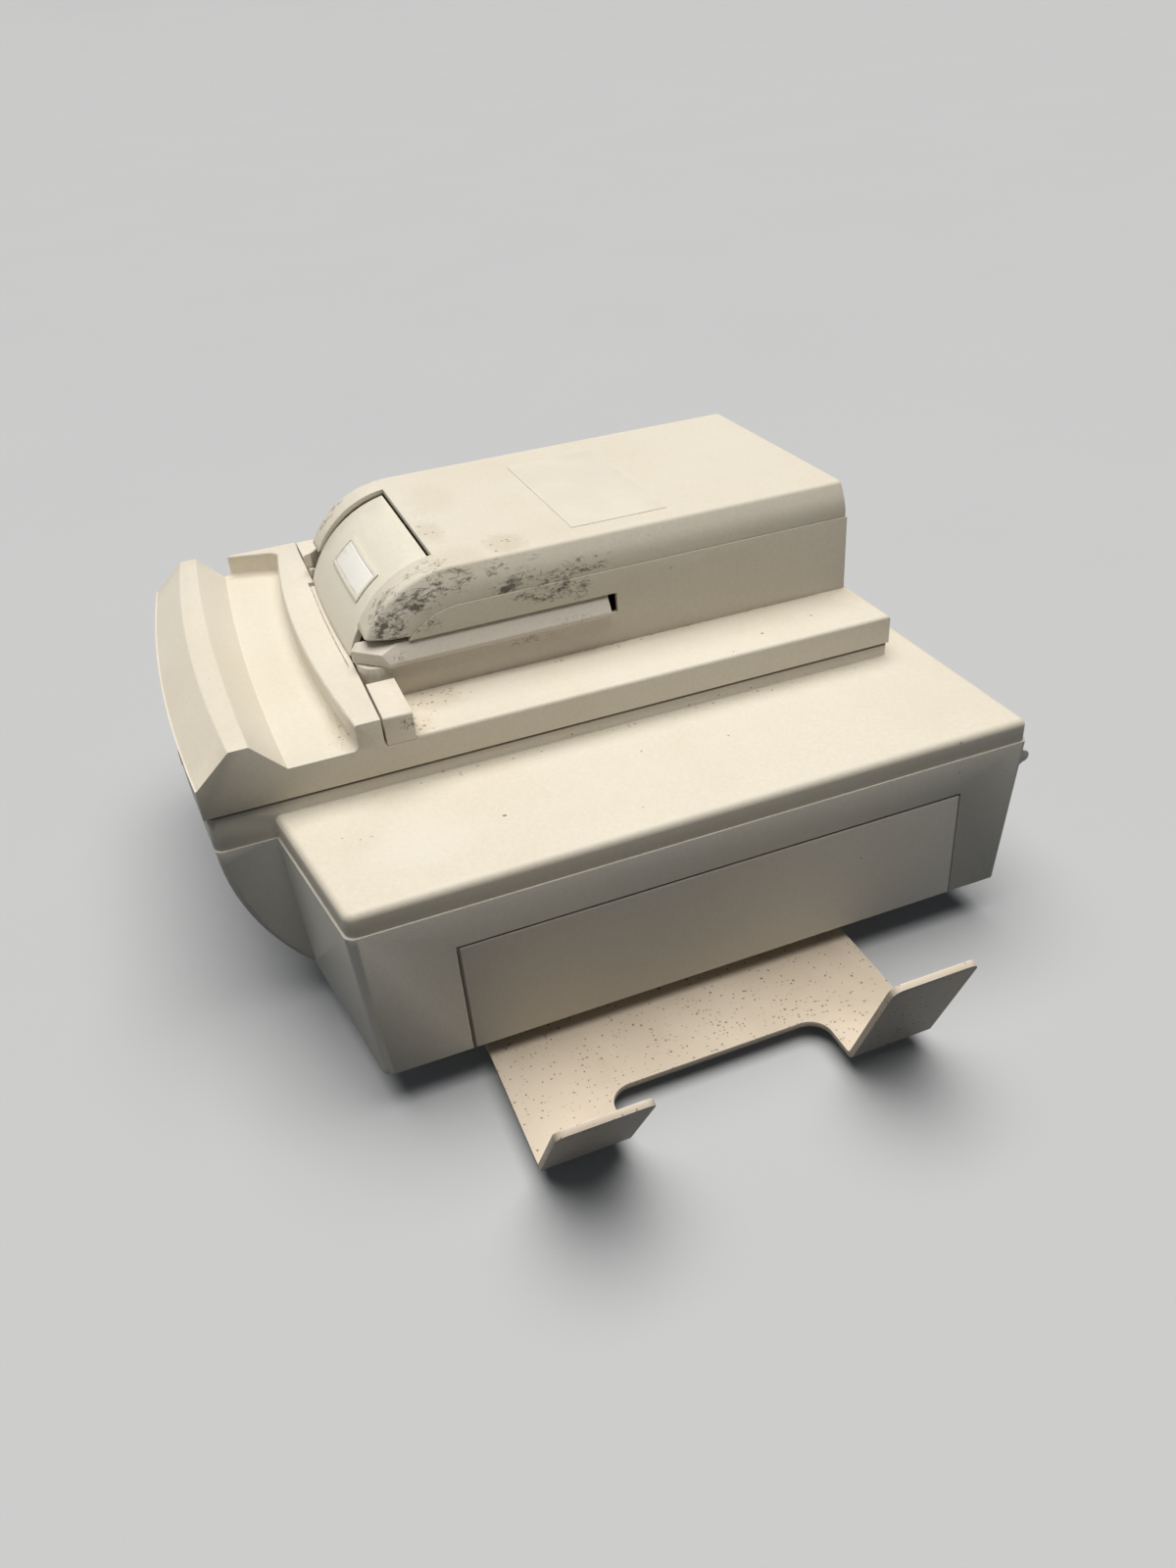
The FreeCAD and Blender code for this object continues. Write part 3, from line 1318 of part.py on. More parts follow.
def sockets():
    face = size.main_half
    front, level = -size.inlet_place, size.inlet_level
    half, tall, lap = size.inlet_half, size.inlet_half_height, size.flange_lap
    end = face + size.flange_thick
    shell = box("inlet_shell", (end - size.inlet_depth, end), (front - half, front + half),
                (level - tall, level + tall))
    flange = box("inlet_flange", (face, end), (front - half - lap, front + half + lap),
                 (level - tall - lap, level + tall + lap))
    skin = size.inlet_skin
    well = box("inlet_well", (end - size.inlet_well, end), (front - half + skin, front + half - skin),
               (level - tall + skin, level + tall - skin))
    blades = [box("inlet_blade", (end - size.inlet_well, end - size.inlet_well + size.blade_length),
                  (front + shift * size.blade_pitch - size.blade_half,
                   front + shift * size.blade_pitch + size.blade_half),
                  (level - size.blade_half_height, level + size.blade_half_height))
              for shift in (-1, 0, 1)]
    hollow = cut("inlet_hollow", fuse("inlet_body", [shell, flange]), [well])
    keep(fuse("power_inlet", [hollow] + blades), "power_inlet")
    back = board_right - 2 * size.board_inset
    place, skin = size.jack_place, size.jack_skin
    case = box("jack_case", (back, end), (place - size.jack_half, place + size.jack_half),
               (board_top, board_top + size.jack_height))
    well = box("jack_well", (end - size.jack_well, end), (place - size.jack_half + skin,
                                                         place + size.jack_half - skin),
               (board_top + skin, board_top + size.jack_height - skin))
    keep(cut("network_jack", case, [well]), "network_jack")
    for label, place, half in (("serial_port", size.serial_place, size.serial_half),
                               ("video_port", size.video_place, size.video_half)):
        case = box(f"{label}_case", (back, face), (place - half, place + half),
                   (board_top, board_top + size.port_height))
        flange = box(f"{label}_flange", (face, end), (place - half - 2 * lap, place + half + 2 * lap),
                     (board_top - lap / 2, board_top + size.port_height + lap / 2))
        nose = box(f"{label}_nose", (end, end + size.port_nose), (place - half + 1, place + half - 1),
                   (board_top + 1, board_top + size.port_height - 1))
        keep(fuse(label, [case, flange, nose]), label)


def docking_connector():
    skin = size.plug_skin
    case = box("plug_case", (-plug_outer, -plug_inner), (plug_front, plug_rear),
               (deck_top, deck_top + size.plug_rise))
    well = box("plug_well", (-plug_outer + skin, -plug_inner - skin),
               (plug_front, plug_front + size.plug_well),
               (deck_top + skin, deck_top + size.plug_rise - skin))
    middle = deck_top + size.plug_rise / 2
    tongue = box("plug_tongue", (-plug_outer + 2 * skin, -plug_inner - 2 * skin),
                 (plug_front + 1, plug_front + size.plug_well),
                 (middle - size.tongue_half, middle + size.tongue_half))
    step = box("plug_step", (-plug_outer, -plug_inner), (plug_rear - size.plug_step_run, plug_rear),
               (deck_top + size.plug_rise - size.plug_step_drop, deck_top + size.plug_rise))
    bores = [rod("plug_bore", size.screw_radius + size.screw_fit, size.hump_bite + size.screw_fit,
                 (x, y, deck_top)) for x, y in plug_places]
    keep(fuse("docking_connector", [cut("plug_hollow", case, [well, step] + bores), tongue]), "docking_connector")


# Small trim

def trim():
    keep(box("top_label", (-size.label_left, size.label_right), (size.label_front, size.label_rear),
             (hump_top, hump_top + size.label_thick)), "top_label")
    fit = size.socket_fit
    radius = bow_radius(deck_half)
    centre = -size.deck_front - size.deck_bow + radius
    spot = size.lens_place + size.lens_half
    front = centre - root(radius * radius - spot * spot) - size.lens_proud
    keep(box("status_lens", (size.lens_place - size.lens_half + fit, size.lens_place + size.lens_half - fit),
             (front, -size.deck_front + size.lens_depth),
             (deck_base + size.lens_bottom + fit, deck_base + size.lens_bottom + size.lens_height - fit)),
         "status_lens")
    lean = size.rear_draft / size.seam_level
    low, high = size.lug_bottom, size.lug_bottom + size.lug_height

    def rear_wall(level):
        return size.rear_reach - lean * (size.seam_level - level)

    lug_outer = size.wing_outer - size.lug_inset
    body = new_body("rear_cable_hook")
    round_end = size.lug_height / 4
    tip = rear_wall(high) + size.lug_reach
    lug = outline(new_sketch(body, "YZ_Plane", lug_outer - size.lug_width), [
        (rear_wall(low), low), (tip - round_end, low + round_end), (tip, low + 2 * round_end, round_end),
        (tip - round_end, low + 3 * round_end, round_end), (rear_wall(high), high)])
    pad(body, lug, size.lug_width)


def flap_pivot_rod():
    reach = size.ear_inner + size.ear_thick
    keep(rod("flap_pivot_rod", size.rod_radius, 2 * reach, (-reach, *pivot), "+X"), "flap_pivot_rod")


def write_parts():
    doc.recompute()
    for item in doc.Objects:
        if "Invalid" in item.State or "Error" in item.State:
            raise RuntimeError(f"{item.Label} failed: {item.State}")
    for piece in pieces:
        if piece.Shape.isNull() or not piece.Shape.isValid() or not piece.Shape.Solids:
            raise RuntimeError(f"{piece.Label} has no valid solid")
    os.makedirs("parts", exist_ok=True)
    for piece in pieces:
        piece.Shape.exportStep(os.path.join("parts", f"{piece.Label}.step"))
        print(piece.Label, len(piece.Shape.Solids), round(piece.Shape.Volume))


lower_tub()
connector_panel()
upper_cover()
dock_platform()
guide_block(-1, "left_guide_block")
guide_block(1, "right_guide_block")
hump_wall()
hump_cover()
release_flap()
flap_pivot_rod()
nameplate()
rail(-1, "left_rail")
rail(1, "right_rail")
latch_carriage()
return_springs()
side_door()
cable_hanger()
feet_and_inserts()
all_screws()
electronics()
sockets()
docking_connector()
trim()
write_parts()
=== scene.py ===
import json
import math

import bmesh
import bpy
from mathutils import Matrix, Vector


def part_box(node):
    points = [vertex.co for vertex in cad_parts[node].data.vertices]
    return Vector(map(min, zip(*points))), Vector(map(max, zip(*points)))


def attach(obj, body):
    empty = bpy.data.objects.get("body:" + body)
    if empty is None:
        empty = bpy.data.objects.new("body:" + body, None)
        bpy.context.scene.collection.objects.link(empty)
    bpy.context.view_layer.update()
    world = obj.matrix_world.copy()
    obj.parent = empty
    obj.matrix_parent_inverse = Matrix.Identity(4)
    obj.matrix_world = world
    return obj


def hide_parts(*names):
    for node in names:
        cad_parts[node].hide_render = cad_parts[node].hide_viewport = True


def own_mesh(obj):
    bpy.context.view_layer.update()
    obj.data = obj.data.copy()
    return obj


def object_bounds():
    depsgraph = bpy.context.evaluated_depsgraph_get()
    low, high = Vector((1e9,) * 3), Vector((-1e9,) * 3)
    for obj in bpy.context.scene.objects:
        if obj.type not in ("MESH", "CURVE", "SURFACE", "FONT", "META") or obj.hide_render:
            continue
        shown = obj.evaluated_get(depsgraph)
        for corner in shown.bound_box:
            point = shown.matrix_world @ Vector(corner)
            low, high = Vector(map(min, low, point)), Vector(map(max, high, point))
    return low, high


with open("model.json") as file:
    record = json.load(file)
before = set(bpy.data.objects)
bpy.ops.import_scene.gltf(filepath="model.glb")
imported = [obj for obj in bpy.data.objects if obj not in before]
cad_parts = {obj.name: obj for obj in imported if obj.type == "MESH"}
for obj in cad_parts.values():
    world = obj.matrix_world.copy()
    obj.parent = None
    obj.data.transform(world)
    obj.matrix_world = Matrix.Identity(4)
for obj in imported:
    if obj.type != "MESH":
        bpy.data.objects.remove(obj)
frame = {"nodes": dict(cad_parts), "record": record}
nodes = frame["nodes"]
cadBox = [list(corner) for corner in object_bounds()]
bodyOf = {name: body for body, members in frame["record"]["behaviour"]["bodies"].items() for name in members}
print("frame loaded:", len(nodes), "nodes")


# small helpers for node trees

def feed(tree, socket, value):
    if isinstance(value, bpy.types.NodeSocket):
        tree.links.new(value, socket)
    else:
        socket.default_value = value


def put(tree, kind, inputs=None, **settings):
    node = tree.nodes.new(kind)
    for name, value in settings.items():
        setattr(node, name, value)
    for name, value in (inputs or {}).items():
        feed(tree, node.inputs[name], value)
    return node


def calc(tree, operation, *values, clamp=False):
    node = put(tree, "ShaderNodeMath", dict(enumerate(values)), operation=operation, use_clamp=clamp)
    return node.outputs[0]


def vectorCalc(tree, operation, *values, part="Vector"):
    node = put(tree, "ShaderNodeVectorMath", dict(enumerate(values)), operation=operation)
    return node.outputs[part]


def ramp(tree, value, low, high, toLow=0.0, toHigh=1.0):
    node = put(tree, "ShaderNodeMapRange", {"Value": value, "From Min": low, "From Max": high,
                                            "To Min": toLow, "To Max": toHigh},
               interpolation_type="SMOOTHSTEP")
    return node.outputs[0]


def noise(tree, place, scale, detail=4.0, roughness=0.6, distortion=0.0):
    node = put(tree, "ShaderNodeTexNoise", {"Vector": place, "Scale": scale, "Detail": detail,
                                            "Roughness": roughness, "Distortion": distortion})
    return node.outputs["Fac"]


def blendColor(tree, factor, first, second, mode="MIX"):
    node = put(tree, "ShaderNodeMix", {0: factor, 6: first, 7: second}, data_type="RGBA", blend_type=mode)
    return node.outputs[2]


def color(red, green, blue):
    return (red, green, blue, 1.0)


def newGroup(name, inputs, outputs):
    tree = bpy.data.node_groups.new(name, "ShaderNodeTree")
    for label, kind, value in inputs:
        socket = tree.interface.new_socket(label, in_out="INPUT", socket_type="NodeSocket" + kind)
        socket.default_value = value
    for label, kind in outputs:
        tree.interface.new_socket(label, in_out="OUTPUT", socket_type="NodeSocket" + kind)
    return tree, tree.nodes.new("NodeGroupInput").outputs, tree.nodes.new("NodeGroupOutput").inputs


def objectPlace(tree):
    return put(tree, "ShaderNodeTexCoord").outputs["Object"]


def placeParts(tree):
    return put(tree, "ShaderNodeSeparateXYZ", {"Vector": objectPlace(tree)}).outputs


# shared surface effects

def makeSparkGrain():
    # the fine eroded texture of the mould, as a height and a faint tone
    tree, given, result = newGroup("sparkGrain", [("Scale", "Float", 1100.0), ("Contrast", "Float", 0.06)],
                                   [("Height", "Float"), ("Tone", "Float")])
    place = objectPlace(tree)
    fine = noise(tree, place, given["Scale"], 2.0)
    half = calc(tree, "MULTIPLY", given["Scale"], 0.45)
    pits = put(tree, "ShaderNodeTexVoronoi", {"Vector": place, "Scale": half}).outputs["Distance"]
    height = calc(tree, "ADD", calc(tree, "MULTIPLY", fine, 0.7), calc(tree, "MULTIPLY", pits, 0.3))
    shift = calc(tree, "MULTIPLY", calc(tree, "SUBTRACT", height, 0.48), given["Contrast"])
    tree.links.new(height, result["Height"])
    tree.links.new(calc(tree, "ADD", calc(tree, "MULTIPLY", shift, 4.0), 1.0), result["Tone"])
    return tree


def makeAgedTone():
    # slow drift between a fresh and a yellowed colour, with cloudy handling marks
    tree, given, result = newGroup("agedTone", [("Fresh", "Color", color(0.8, 0.8, 0.8)),
                                                ("Aged", "Color", color(0.7, 0.6, 0.5)),
                                                ("Amount", "Float", 0.5), ("Scale", "Float", 7.0)],
                                   [("Color", "Color")])
    place = objectPlace(tree)
    slow = noise(tree, place, given["Scale"], 4.0, 0.55)
    cloud = noise(tree, place, 55.0, 5.0, 0.65)
    mixed = calc(tree, "ADD", ramp(tree, slow, 0.35, 0.7), ramp(tree, cloud, 0.5, 0.8, 0.0, 0.35))
    factor = calc(tree, "MULTIPLY", mixed, given["Amount"], clamp=True)
    tree.links.new(blendColor(tree, factor, given["Fresh"], given["Aged"]), result["Color"])
    return tree


def makeBlot():
    # a soft patch of given reach about a place, with a ragged rim
    tree, given, result = newGroup("blot", [("Centre", "Vector", (0, 0, 0)),
                                            ("Reach", "Vector", (0.01, 0.01, 0.01))], [("Mask", "Float")])
    place = objectPlace(tree)
    away = vectorCalc(tree, "SUBTRACT", place, given["Centre"])
    share = vectorCalc(tree, "DIVIDE", away, given["Reach"])
    reach = vectorCalc(tree, "LENGTH", share, part="Value")
    ragged = calc(tree, "MULTIPLY", calc(tree, "SUBTRACT", noise(tree, place, 130.0, 5.0, 0.65), 0.5), 0.9)
    tree.links.new(ramp(tree, calc(tree, "ADD", reach, ragged), 1.1, 0.4), result["Mask"])
    return tree


def makeScuffMarks():
    # dark rub marks that thicken with Cover: curved hair scratches and gritty smears
    tree, given, result = newGroup("scuffMarks", [("Cover", "Float", 0.5), ("Stretch", "Vector", (1, 1, 1))],
                                   [("Mask", "Float")])
    place = vectorCalc(tree, "MULTIPLY", objectPlace(tree), given["Stretch"])
    hairs = []
    for scale, width in ((150.0, 0.017), (290.0, 0.026)):
        level = calc(tree, "ABSOLUTE", calc(tree, "SUBTRACT", noise(tree, place, scale, 1.5, 0.5, 0.8), 0.5))
        hairs.append(ramp(tree, level, width, width * 0.3))
    hair = calc(tree, "MAXIMUM", *hairs)
    broken = ramp(tree, noise(tree, place, 240.0, 3.0), 0.62, 0.42)
    dense = ramp(tree, given["Cover"], 0.35, 0.75)
    hair = calc(tree, "MULTIPLY", hair, calc(tree, "MULTIPLY", broken, dense))
    streak = noise(tree, place, 340.0, 6.0, 0.75)
    patch = noise(tree, place, 120.0, 3.0, 0.6)
    level = calc(tree, "ADD", calc(tree, "MULTIPLY", streak, 0.74), calc(tree, "MULTIPLY", patch, 0.26))
    edge = calc(tree, "SUBTRACT", 0.69, calc(tree, "MULTIPLY", given["Cover"], 0.21))
    smear = calc(tree, "MULTIPLY", calc(tree, "SUBTRACT", level, edge), 11.0, clamp=True)
    smear = calc(tree, "MULTIPLY", smear, ramp(tree, given["Cover"], 0.0, 0.2))
    marks = calc(tree, "MAXIMUM", calc(tree, "MULTIPLY", hair, 0.8), smear)
    tree.links.new(marks, result["Mask"])
    return tree


def makeSpecks():
    # scattered crumbs of dust: a few cells of a fine cell pattern, each its own size
    tree, given, result = newGroup("specks", [("Scale", "Float", 200.0), ("Share", "Float", 0.1),
                                              ("Size", "Float", 0.2)], [("Mask", "Float")])
    place = objectPlace(tree)
    bent = put(tree, "ShaderNodeTexNoise", {"Vector": place, "Scale": 900.0}).outputs["Color"]
    shift = vectorCalc(tree, "MULTIPLY", bent, (0.0012, 0.0012, 0.0012))
    place = vectorCalc(tree, "ADD", place, shift)
    cells = put(tree, "ShaderNodeTexVoronoi", {"Vector": place, "Scale": given["Scale"]})
    pick = put(tree, "ShaderNodeSeparateColor", {"Color": cells.outputs["Color"]}).outputs
    chosen = calc(tree, "LESS_THAN", pick[0], given["Share"])
    reach = calc(tree, "MULTIPLY", given["Size"], calc(tree, "ADD", 0.35, pick[1]))
    inside = ramp(tree, calc(tree, "DIVIDE", cells.outputs["Distance"], reach), 1.0, 0.7)
    tree.links.new(calc(tree, "MULTIPLY", chosen, inside), result["Mask"])
    return tree


def makeRubbedEdgeAndHighlight():
    # finds outer edges by comparing the face's normal with a rounded one, broken up by noise; the mask
    # lightens edges as rubbed wear, and on the mouldings as a painted highlight too
    tree, given, result = newGroup("rubbedEdgeAndHighlight", [("Radius", "Float", 0.0012), ("Breakup", "Float", 0.5)],
                                   [("Mask", "Float")])
    rounded = put(tree, "ShaderNodeBevel", {"Radius": given["Radius"]}, samples=6).outputs[0]
    plain = put(tree, "ShaderNodeNewGeometry").outputs["Normal"]
    same = vectorCalc(tree, "DOT_PRODUCT", rounded, plain, part="Value")
    edge = ramp(tree, same, 0.995, 0.86)
    broken = ramp(tree, noise(tree, objectPlace(tree), 160.0), 0.38, 0.62)
    keep = calc(tree, "ADD", calc(tree, "SUBTRACT", 1.0, given["Breakup"]),
                calc(tree, "MULTIPLY", broken, given["Breakup"]))
    tree.links.new(calc(tree, "MULTIPLY", edge, keep, clamp=True), result["Mask"])
    return tree


def makeCreviceDustShade():
    # darkens where two faces meet and little light reaches, found by occlusion: dust that settles there, and
    # painted shade
    tree, given, result = newGroup("creviceDustShade", [("Reach", "Float", 0.005), ("Amount", "Float", 0.6)],
                                   [("Mask", "Float")])
    openness = put(tree, "ShaderNodeAmbientOcclusion", {"Distance": given["Reach"]}, samples=6).outputs["AO"]
    closed = ramp(tree, openness, 0.7, 0.3)
    grain = ramp(tree, noise(tree, objectPlace(tree), 260.0), 0.35, 0.65, 0.25, 1.0)
    tree.links.new(calc(tree, "MULTIPLY", calc(tree, "MULTIPLY", closed, grain), given["Amount"], clamp=True),
                   result["Mask"])
    return tree


sparkGrain = makeSparkGrain()
agedTone = makeAgedTone()
blot = makeBlot()
scuffMarks = makeScuffMarks()
specks = makeSpecks()
rubbedEdgeAndHighlight = makeRubbedEdgeAndHighlight()
creviceDustShade = makeCreviceDustShade()
print("surface effects ready")


def useGroup(tree, group, inputs):
    node = tree.nodes.new("ShaderNodeGroup")
    node.node_tree = group
    for name, value in inputs.items():
        feed(tree, node.inputs[name], value)
    return node.outputs


def newMaterial(name, roughness, specular=0.45, metallic=0.0):
    material = bpy.data.materials.new(name)
    material.use_nodes = True
    tree = material.node_tree
    shader = tree.nodes["Principled BSDF"]
    shader.inputs["Roughness"].default_value = roughness
    shader.inputs["Specular IOR Level"].default_value = specular
    shader.inputs["Metallic"].default_value = metallic
    return material, tree, shader


def setBump(tree, shader, height, strength, distance):
    bump = put(tree, "ShaderNodeBump", {"Height": height, "Strength": strength, "Distance": distance})
    tree.links.new(bump.outputs[0], shader.inputs["Normal"])


def blots(tree, patches):
    # several patches as one mask; each is a weight, a centre and a reach in millimetres
    total = None
    for weight, centre, reach in patches:
        mask = useGroup(tree, blot, {"Centre": [part / 1000 for part in centre],
                                     "Reach": [part / 1000 for part in reach]})["Mask"]
        mask = calc(tree, "MULTIPLY", mask, weight)
        total = mask if total is None else calc(tree, "MAXIMUM", total, mask)
    return total


# moulded finishes: what all share, in metres, then each piece's colours and marks, painted shade and
# highlight among them

mouldLook = {
    "fresh": color(0.745, 0.69, 0.585), "aged": color(0.69, 0.615, 0.485), "age": 0.4, "roughness": 0.5,
    "grain": 0.3, "grainDepth": 0.00012, "grainTone": 0.05, "wiped": color(0.8, 0.765, 0.69),
    # dust: the colour laid in crevices, as dust and as painted shade
    "stain": color(0.5, 0.36, 0.17), "dust": color(0.33, 0.26, 0.18), "crevice": 0.45,
    # edge: a lighter colour on outer edges, partly rubbed wear and partly painted highlight
    "edge": color(0.85, 0.81, 0.72), "edgeRadius": 0.0009, "edgeBreakup": 0.6, "edgeWearAndHighlight": 0.5,
    # grime: the dark colour of scuffs, also used for painted shade lines
    "grimeAndShade": color(0.07, 0.05, 0.036), "seamReach": (0.0022, 0.0012), "borderDepth": 0.85,
    "crumb": color(0.13, 0.09, 0.055), "crumbs": 0.004, "crumbScale": 210.0, "crumbSize": 0.17,
    "crumbDepth": 0.8,
    "gritScale": 520.0, "gritSize": 0.34, "gritShare": 0.6, "gritDepth": 0.7, "gritStain": 0.2,
    "stretch": (1, 1, 1), "scuffDepth": 0.85, "scuffDull": 0.2}


def seamLine(tree, level, reach):
    # painted shade: a dark line at one height, for the shadow under an overhang
    away = calc(tree, "ABSOLUTE", calc(tree, "SUBTRACT", placeParts(tree)[2], level))
    return ramp(tree, away, *reach)


def borderLines(tree, border):
    # painted shade: dark lines inside the front, rear and upper edges of a flat piece, for the shadow in the
    # gap round it
    low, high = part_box(border["node"])
    place = placeParts(tree)
    front = ramp(tree, place[1], *(low.y + reach for reach in border["front"]))
    rear = ramp(tree, place[1], *(high.y - reach for reach in border["rear"]))
    top = ramp(tree, place[2], *(high.z - reach for reach in border["top"]))
    return calc(tree, "MAXIMUM", front, calc(tree, "MAXIMUM", rear, top))


def makeMould(name, piece):
    look = {**mouldLook, **piece}
    material, tree, shader = newMaterial(name, look["roughness"])
    surface = useGroup(tree, agedTone, {"Fresh": look["fresh"], "Aged": look["aged"],
                                        "Amount": look["age"]})["Color"]
    grain = useGroup(tree, sparkGrain, {"Contrast": look["grainTone"]})
    surface = blendColor(tree, 1.0, surface, grain["Tone"], "MULTIPLY")
    if "wipes" in look:
        surface = blendColor(tree, blots(tree, look["wipes"]), surface, look["wiped"])
    if "stains" in look:
        surface = blendColor(tree, blots(tree, look["stains"]), surface, look["stain"], "MULTIPLY")
    # lighter outer edges: rubbed wear and painted highlight
    edge = useGroup(tree, rubbedEdgeAndHighlight, {"Radius": look["edgeRadius"], "Breakup": look["edgeBreakup"]})["Mask"]
    surface = blendColor(tree, calc(tree, "MULTIPLY", edge, look["edgeWearAndHighlight"]), surface, look["edge"])
    # painted shade on the band's top, under the deck's overhang
    if "seam" in look:
        surface = blendColor(tree, seamLine(tree, look["seam"], look["seamReach"]), surface, look["grimeAndShade"])
    # painted shade in the gap round the piece
    if "border" in look:
        rim = calc(tree, "MULTIPLY", borderLines(tree, look["border"]), look["borderDepth"])
        surface = blendColor(tree, rim, surface, look["grimeAndShade"])
    # crevice dust and painted shade, from occlusion
    dustShade = useGroup(tree, creviceDustShade, {"Amount": look["crevice"]})["Mask"]
    surface = blendColor(tree, dustShade, surface, look["dust"])
    crumbs = useGroup(tree, specks, {"Scale": look["crumbScale"], "Share": look["crumbs"],
                                     "Size": look["crumbSize"]})["Mask"]
    if "grit" in look:
        field = blots(tree, look["grit"])
        share = calc(tree, "MULTIPLY", field, look["gritShare"])
        fine = useGroup(tree, specks, {"Scale": look["gritScale"], "Share": share,
                                       "Size": look["gritSize"]})["Mask"]
        tinge = calc(tree, "MULTIPLY", field, look["gritStain"])
        surface = blendColor(tree, tinge, surface, look["stain"], "MULTIPLY")
        crumbs = calc(tree, "MAXIMUM", crumbs, calc(tree, "MULTIPLY", fine, look["gritDepth"]))
    surface = blendColor(tree, calc(tree, "MULTIPLY", crumbs, look["crumbDepth"]), surface, look["crumb"])
    rough = ramp(tree, grain["Height"], 0.2, 0.8, look["roughness"] - 0.08, look["roughness"] + 0.1)
    if "scuffs" in look:
        cover = blots(tree, look["scuffs"])
        marks = useGroup(tree, scuffMarks, {"Cover": cover, "Stretch": look["stretch"]})["Mask"]
        surface = blendColor(tree, calc(tree, "MULTIPLY", marks, look["scuffDepth"]), surface, look["grimeAndShade"])
        rough = calc(tree, "ADD", rough, calc(tree, "MULTIPLY", marks, look["scuffDull"]))
    tree.links.new(surface, shader.inputs["Base Color"])
    tree.links.new(rough, shader.inputs["Roughness"])
    setBump(tree, shader, grain["Height"], look["grain"], look["grainDepth"])
    return material


humpLook = {
    "age": 0.5, "crevice": 0.25, "stretch": (1.4, 0.45, 1.0),
    "stains": [(0.1, (50, -16, 155), (13, 11, 6)), (0.1, (20, -41, 155), (14, 7, 6)),
               (0.12, (57, -40, 154), (16, 16, 9)), (0.08, (-20, -30, 155), (24, 14, 6))],
    "grit": [(0.45, (50, -16, 155), (13, 10, 4)), (0.3, (20, -40, 155), (14, 7, 4))],
    "scuffs": [(1.0, (64, -79, 122), (8, 10, 12)), (1.0, (64, -72, 135), (8, 12, 11)),
               (1.0, (63, -60, 143), (8, 16, 10)), (0.9, (62, -44, 149), (8, 18, 8)),
               (0.6, (62, -20, 150), (7, 24, 7)), (1.0, (66, -10, 141), (5, 24, 9)),
               (0.75, (65, 14, 144), (5, 20, 7)), (0.45, (62, 42, 150), (5, 22, 6)),
               (0.9, (56, -72, 141), (10, 15, 13)), (0.7, (55, -50, 152), (10, 15, 7)),
               (0.8, (-60, -70, 140), (11, 19, 15)), (0.5, (-60, -46, 152), (10, 15, 7)),
               (0.35, (63, 100, 148), (5, 22, 7)), (0.45, (12, -40, 155), (50, 12, 5))]}
wallLook = {
    "crevice": 0.35, "stretch": (1.4, 0.45, 1.0),
    "scuffs": [(1.0, (67, -6, 137), (4, 20, 7)), (0.7, (67, -58, 135), (4, 16, 6)),
               (0.6, (67, -12, 117), (4, 20, 4)), (0.8, (67, 9, 135), (4, 9, 8))]}
deckLook = {
    "age": 0.5, "crevice": 0.45, "crumbs": 0.008,
    "stains": [(0.16, (12, -143, 125), (18, 8, 6)), (0.22, (100, -140, 125), (16, 8, 6)),
               (0.1, (60, -142, 125), (24, 8, 6)), (0.1, (-40, -143, 125), (28, 9, 6))],
    "grit": [(0.9, (76, -61, 105), (13, 16, 4)), (0.8, (93, -71, 105), (12, 8, 4)),
             (0.8, (84, -101, 105), (22, 7, 5)), (0.45, (69, 20, 105), (5, 70, 4))],
    "scuffs": [(0.5, (106, -140, 124), (14, 8, 6)), (0.25, (40, -95, 117), (34, 5, 4)),
               (0.25, (-8, -96, 117), (16, 4, 4)), (0.42, (108, -40, 105), (5, 8, 4)),
               (0.4, (60, -142, 125), (50, 7, 5))]}
coverLook = {
    # the deck's underside, where painted shade darkens the band below it
    "age": 0.45, "crevice": 0.25, "crumbs": 0.014, "seam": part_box("dock_platform")[0].z,
    "wipes": [(0.25, (143, -84, 86), (20, 28, 6))],
    "grit": [(0.5, (104, -40, 86), (4, 80, 4)), (0.4, (104, 60, 86), (4, 70, 4)),
             (0.07, (123, 24, 86), (18, 26, 4)), (0.12, (135, -108, 86), (11, 10, 4))],
    "scuffs": [(0.2, (146, -108, 86), (16, 14, 5)), (0.14, (150, 60, 86), (20, 40, 5))]}
flapLook = {
    "fresh": color(0.795, 0.75, 0.63), "aged": color(0.74, 0.675, 0.545), "age": 0.35, "grain": 0.1,
    "crevice": 0.3, "crumbs": 0.003, "roughness": 0.42,
    "scuffs": [(0.4, (-10, -86, 120), (40, 5, 5)), (0.3, (40, -60, 147), (8, 16, 10))]}
railLook = {
    "fresh": color(0.72, 0.66, 0.57), "aged": color(0.65, 0.58, 0.485), "age": 0.35, "grain": 0.12,
    # the lighter edge colour is rubbed wear and painted highlight
    "crevice": 0.25, "roughness": 0.4, "edge": color(0.8, 0.76, 0.69),
    "scuffs": [(0.65, (68, -70, 123), (4, 7, 4)), (0.6, (68, 4, 122), (4, 18, 4)),
               (0.4, (68, -30, 125), (4, 24, 5)), (0.3, (-68, -30, 123), (4, 20, 5))]}
blockLook = {
    "fresh": color(0.78, 0.715, 0.605), "aged": color(0.7, 0.62, 0.5), "grain": 0.2, "crevice": 0.35,
    "scuffs": [(0.85, (101, -78, 112), (5, 6, 4)), (0.5, (-101, -78, 112), (5, 6, 4))]}
